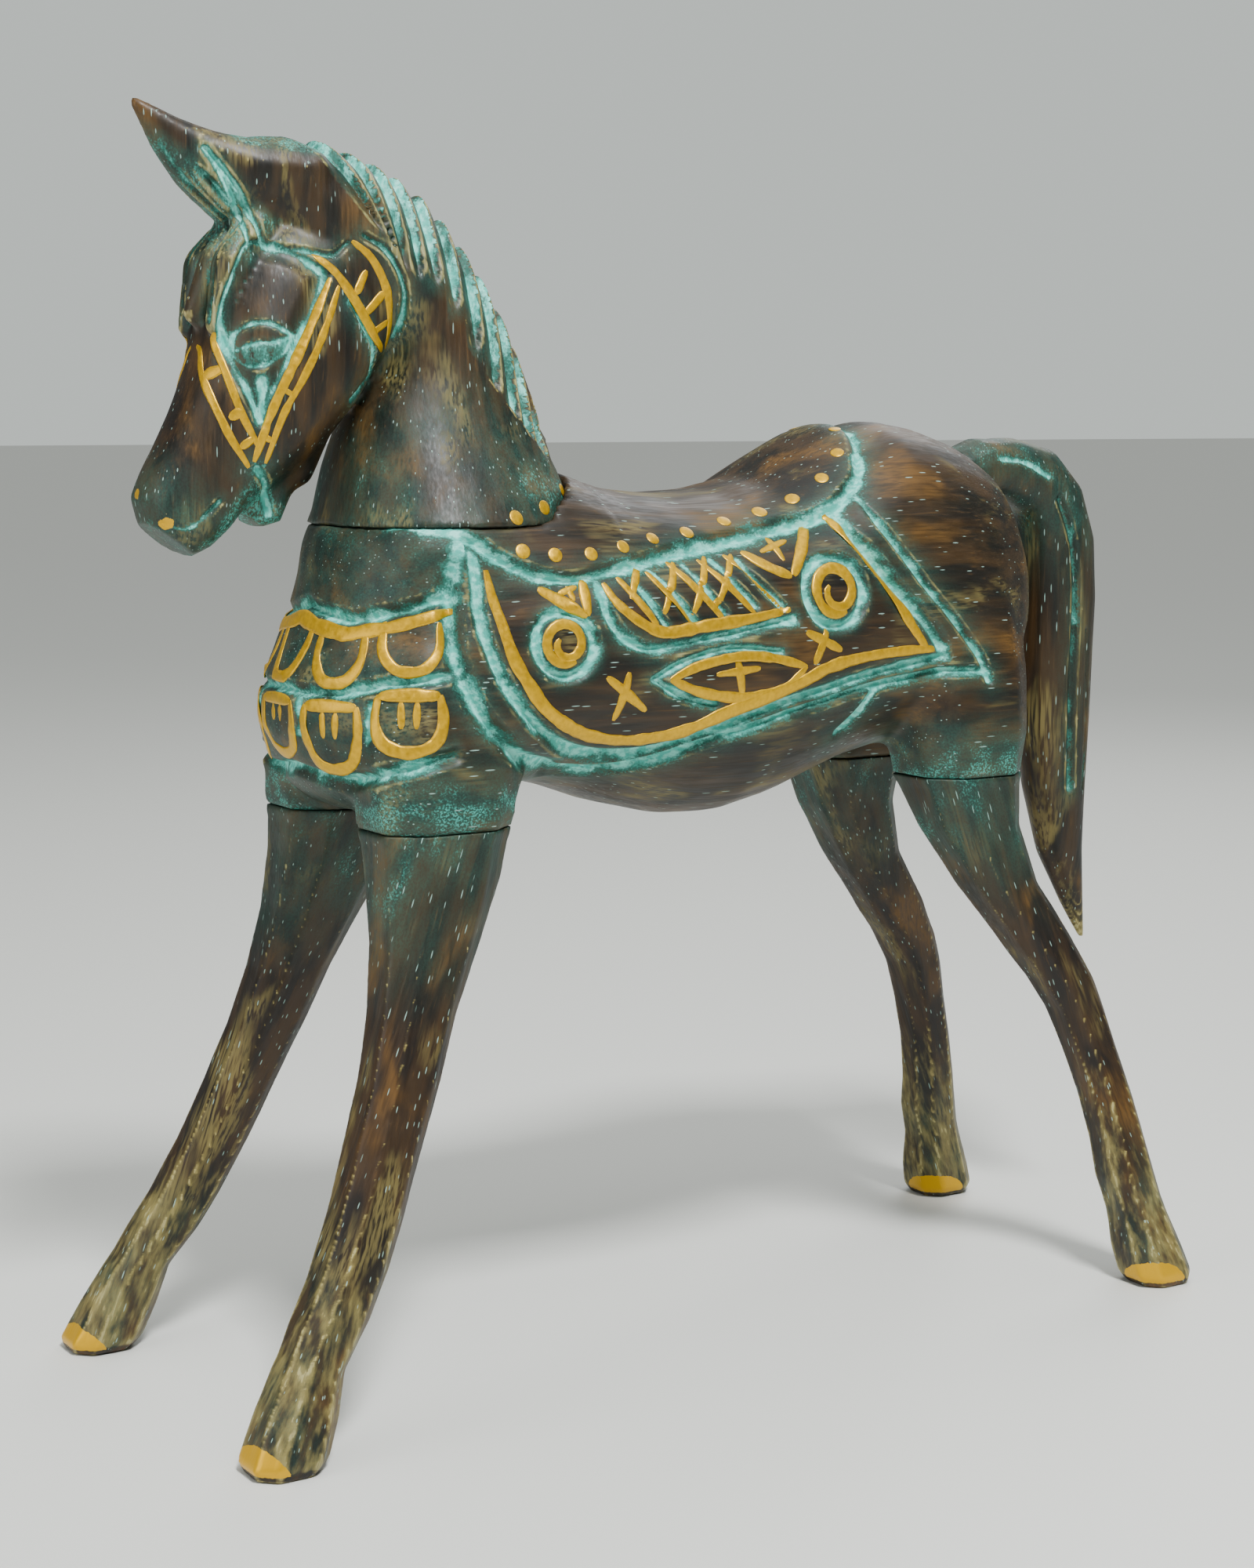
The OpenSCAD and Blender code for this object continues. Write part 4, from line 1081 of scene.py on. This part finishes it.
# %% Paint the bridle
bridle = []
for line, width in (
    ([(37, 16.6), (45.8, 12), (52.5, 3.5), (56.3, -5.2)], 1.8),
    ([(35.5, 17), (42.3, 10), (47.8, 2.9), (51.5, -4.5)], 1.7),
    ([(44.5, 13), (41, 11.3)], 2.2), ([(50, 4.6), (46.5, 3.4)], 2.2), ([(54, -1), (50.3, -2.2)], 1.9),
    ([(10.5, 3.6), (21.4, 2), (31, 0.6), (42.4, -1.5), (54.6, -5.4)], 2.0),
    ([(10.8, 1), (23, -1.6), (32.6, -3.1), (42.6, -4.3), (53.3, -7.8)], 1.6),
    ([(38, -0.6), (37.7, -3.8)], 1.3), ([(49, -3.6), (48.5, -6)], 1.3),
    ([(8.4, 9.4), (8.8, 2.8), (12, -6), (14.5, -12.8), (15, -17.5)], 2.0),
    ([(0.2, 3.6), (0.5, -2.3), (3.8, -9.4), (8.7, -14.5), (13.6, -18.3)], 1.8),
    ([(3.4, -3), (9.8, -3.4)], 1.8), ([(4.6, -9.4), (12, -7.8)], 1.8), ([(8.9, -14.3), (14, -12)], 1.5),
):
    bridle += drawn(thrown_at_head, line, width)
lay_paint("gold_bridle_lines", LINE_TREE, bridle, "neck_and_head")

# %% Dot the saddle's edge
trunk_dots = [
    (47, 199.6, 3.7), (55, 198.6, 3.6), (64.5, 198.6, 3.5), (74, 200, 3.4), (84, 201.6, 3.5), (95, 202.7, 3.8),
    (108, 205, 3.7), (119.5, 207, 4.1), (130, 210, 3.9), (139.5, 215, 3.6), (147, 221.2, 3.5),
    (152.5, 227, 3.2),
]
neck_dots = [(38.5, 204.6, 4.2), (47, 207.2, 3.8), (56.5, 209.2, 3.6), (65.5, 213, 3.2)]
for name, dots, node in (
    ("gold_saddle_dots", trunk_dots, "trunk"), ("gold_withers_dots", neck_dots, "neck_and_head"),
):
    single = []
    for a, h, width in dots:
        single += drawn(thrown_from_side, [(a, h)], width, smooth=False)
    lay_paint(name, DOT_TREE, single, node)

# %% [markdown]
# ## The hidden dowels
# Seven beech dowels hold the blocks. They stay CAD pieces, because a turned dowel has no more shape
# than the CAD gives it; they only get a plain, pale, unfinished wood.

# %% Dowels
def plain_wood():
    """Unfinished beech: pale, matt, with fine darker flecks about 1 mm long."""
    material = bpy.data.materials.new("plain_beech")
    material.use_nodes = True
    tree = material.node_tree
    shader = tree.nodes["Principled BSDF"]
    place = add_node(tree, "ShaderNodeTexCoord").outputs["Object"]
    place = add_node(tree, "ShaderNodeMapping", {"Vector": place, "Scale": (2000, 2000, 250)}).outputs[0]
    fleck = add_node(tree, "ShaderNodeTexNoise", {"Vector": place, "Scale": 1.0, "Detail": 3.0}).outputs["Fac"]
    woods = {0: fleck, 6: paint_colour("#c9a877"), 7: paint_colour("#a67f50")}
    tint = add_node(tree, "ShaderNodeMix", woods, data_type="RGBA")
    tree.links.new(tint.outputs[2], shader.inputs["Base Color"])
    shader.inputs["Roughness"].default_value = 0.7
    return material


PLAIN_WOOD = plain_wood()
for name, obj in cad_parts.items():
    if "dowel" in name:
        obj.data.materials.clear()
        obj.data.materials.append(PLAIN_WOOD)
print("dowels:", sum("dowel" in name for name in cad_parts))

# %% [markdown]
# ## Studio
# A flat pale floor under an even sky, a small key light from above, a soft light from the front, a
# rim light from behind and a wide, weak light from the ceiling. The camera looks at the horse's
# left front quarter, a little from above.

# %% Floor, lights and camera
def surface(name, code, roughness):
    material = bpy.data.materials.new(name)
    material.use_nodes = True
    shader = material.node_tree.nodes["Principled BSDF"]
    shader.inputs["Base Color"].default_value = paint_colour(code)
    shader.inputs["Roughness"].default_value = roughness
    return material


CAMERA_PLACE = Vector((0.585, -0.373, 0.2305))
CAMERA_TARGET = Vector((0.0, -0.009, 0.1385))
LENS = 63.4
SENSOR_WIDTH = 36
FLOOR_REACH = 20  # metres from the middle, so that no view shows its edge
SKY_LIGHT, SKY_SEEN = 0.28, 0.85  # how strongly the sky lights the horse and how bright it looks

bm = bmesh.new()
bmesh.ops.create_grid(bm, x_segments=1, y_segments=1, size=FLOOR_REACH)
floor_mesh = bpy.data.meshes.new("floor")
bm.to_mesh(floor_mesh)
bm.free()
floor_mesh.materials.append(surface("pale_floor", "#d9dbd6", 0.6))
floor = collection_link(floor_mesh, "floor")

world = bpy.data.worlds.new("studio")
bpy.context.scene.world = world
world.use_nodes = True
sky = world.node_tree.nodes["Background"]
sky.inputs["Color"].default_value = paint_colour("#dfe6e2")
seen = add_node(world.node_tree, "ShaderNodeLightPath").outputs["Is Camera Ray"]
strength = {"Value": seen, 3: SKY_LIGHT, 4: SKY_SEEN}
strength = add_node(world.node_tree, "ShaderNodeMapRange", strength).outputs[0]
world.node_tree.links.new(strength, sky.inputs["Strength"])


def soft_light(name, place, size, power, target=(0, 0, 0.15)):
    light = bpy.data.lights.new(name, "AREA")
    light.size, light.energy = size, power
    obj = bpy.data.objects.new(name, light)
    bpy.context.scene.collection.objects.link(obj)
    obj.location = place
    obj.rotation_euler = (Vector(target) - Vector(place)).to_track_quat("-Z", "Y").to_euler()


soft_light("key", (0.65, -0.15, 1.1), 0.2, 22)
soft_light("front", (0.1, -1.1, 0.45), 0.6, 4)
soft_light("rim", (-0.6, 0.8, 0.9), 0.6, 5)
daylight = bpy.data.lights.new("ceiling", "SUN")
daylight.energy, daylight.angle = 1.2, math.radians(70)
bpy.context.scene.collection.objects.link(bpy.data.objects.new("ceiling", daylight))

camera_data = bpy.data.cameras.new("camera")
camera_data.lens = LENS
camera_data.sensor_width = SENSOR_WIDTH
camera = bpy.data.objects.new("camera", camera_data)
bpy.context.scene.collection.objects.link(camera)
camera.location = CAMERA_PLACE
camera.rotation_euler = (CAMERA_TARGET - CAMERA_PLACE).to_track_quat("-Z", "Y").to_euler()
bpy.context.scene.camera = camera
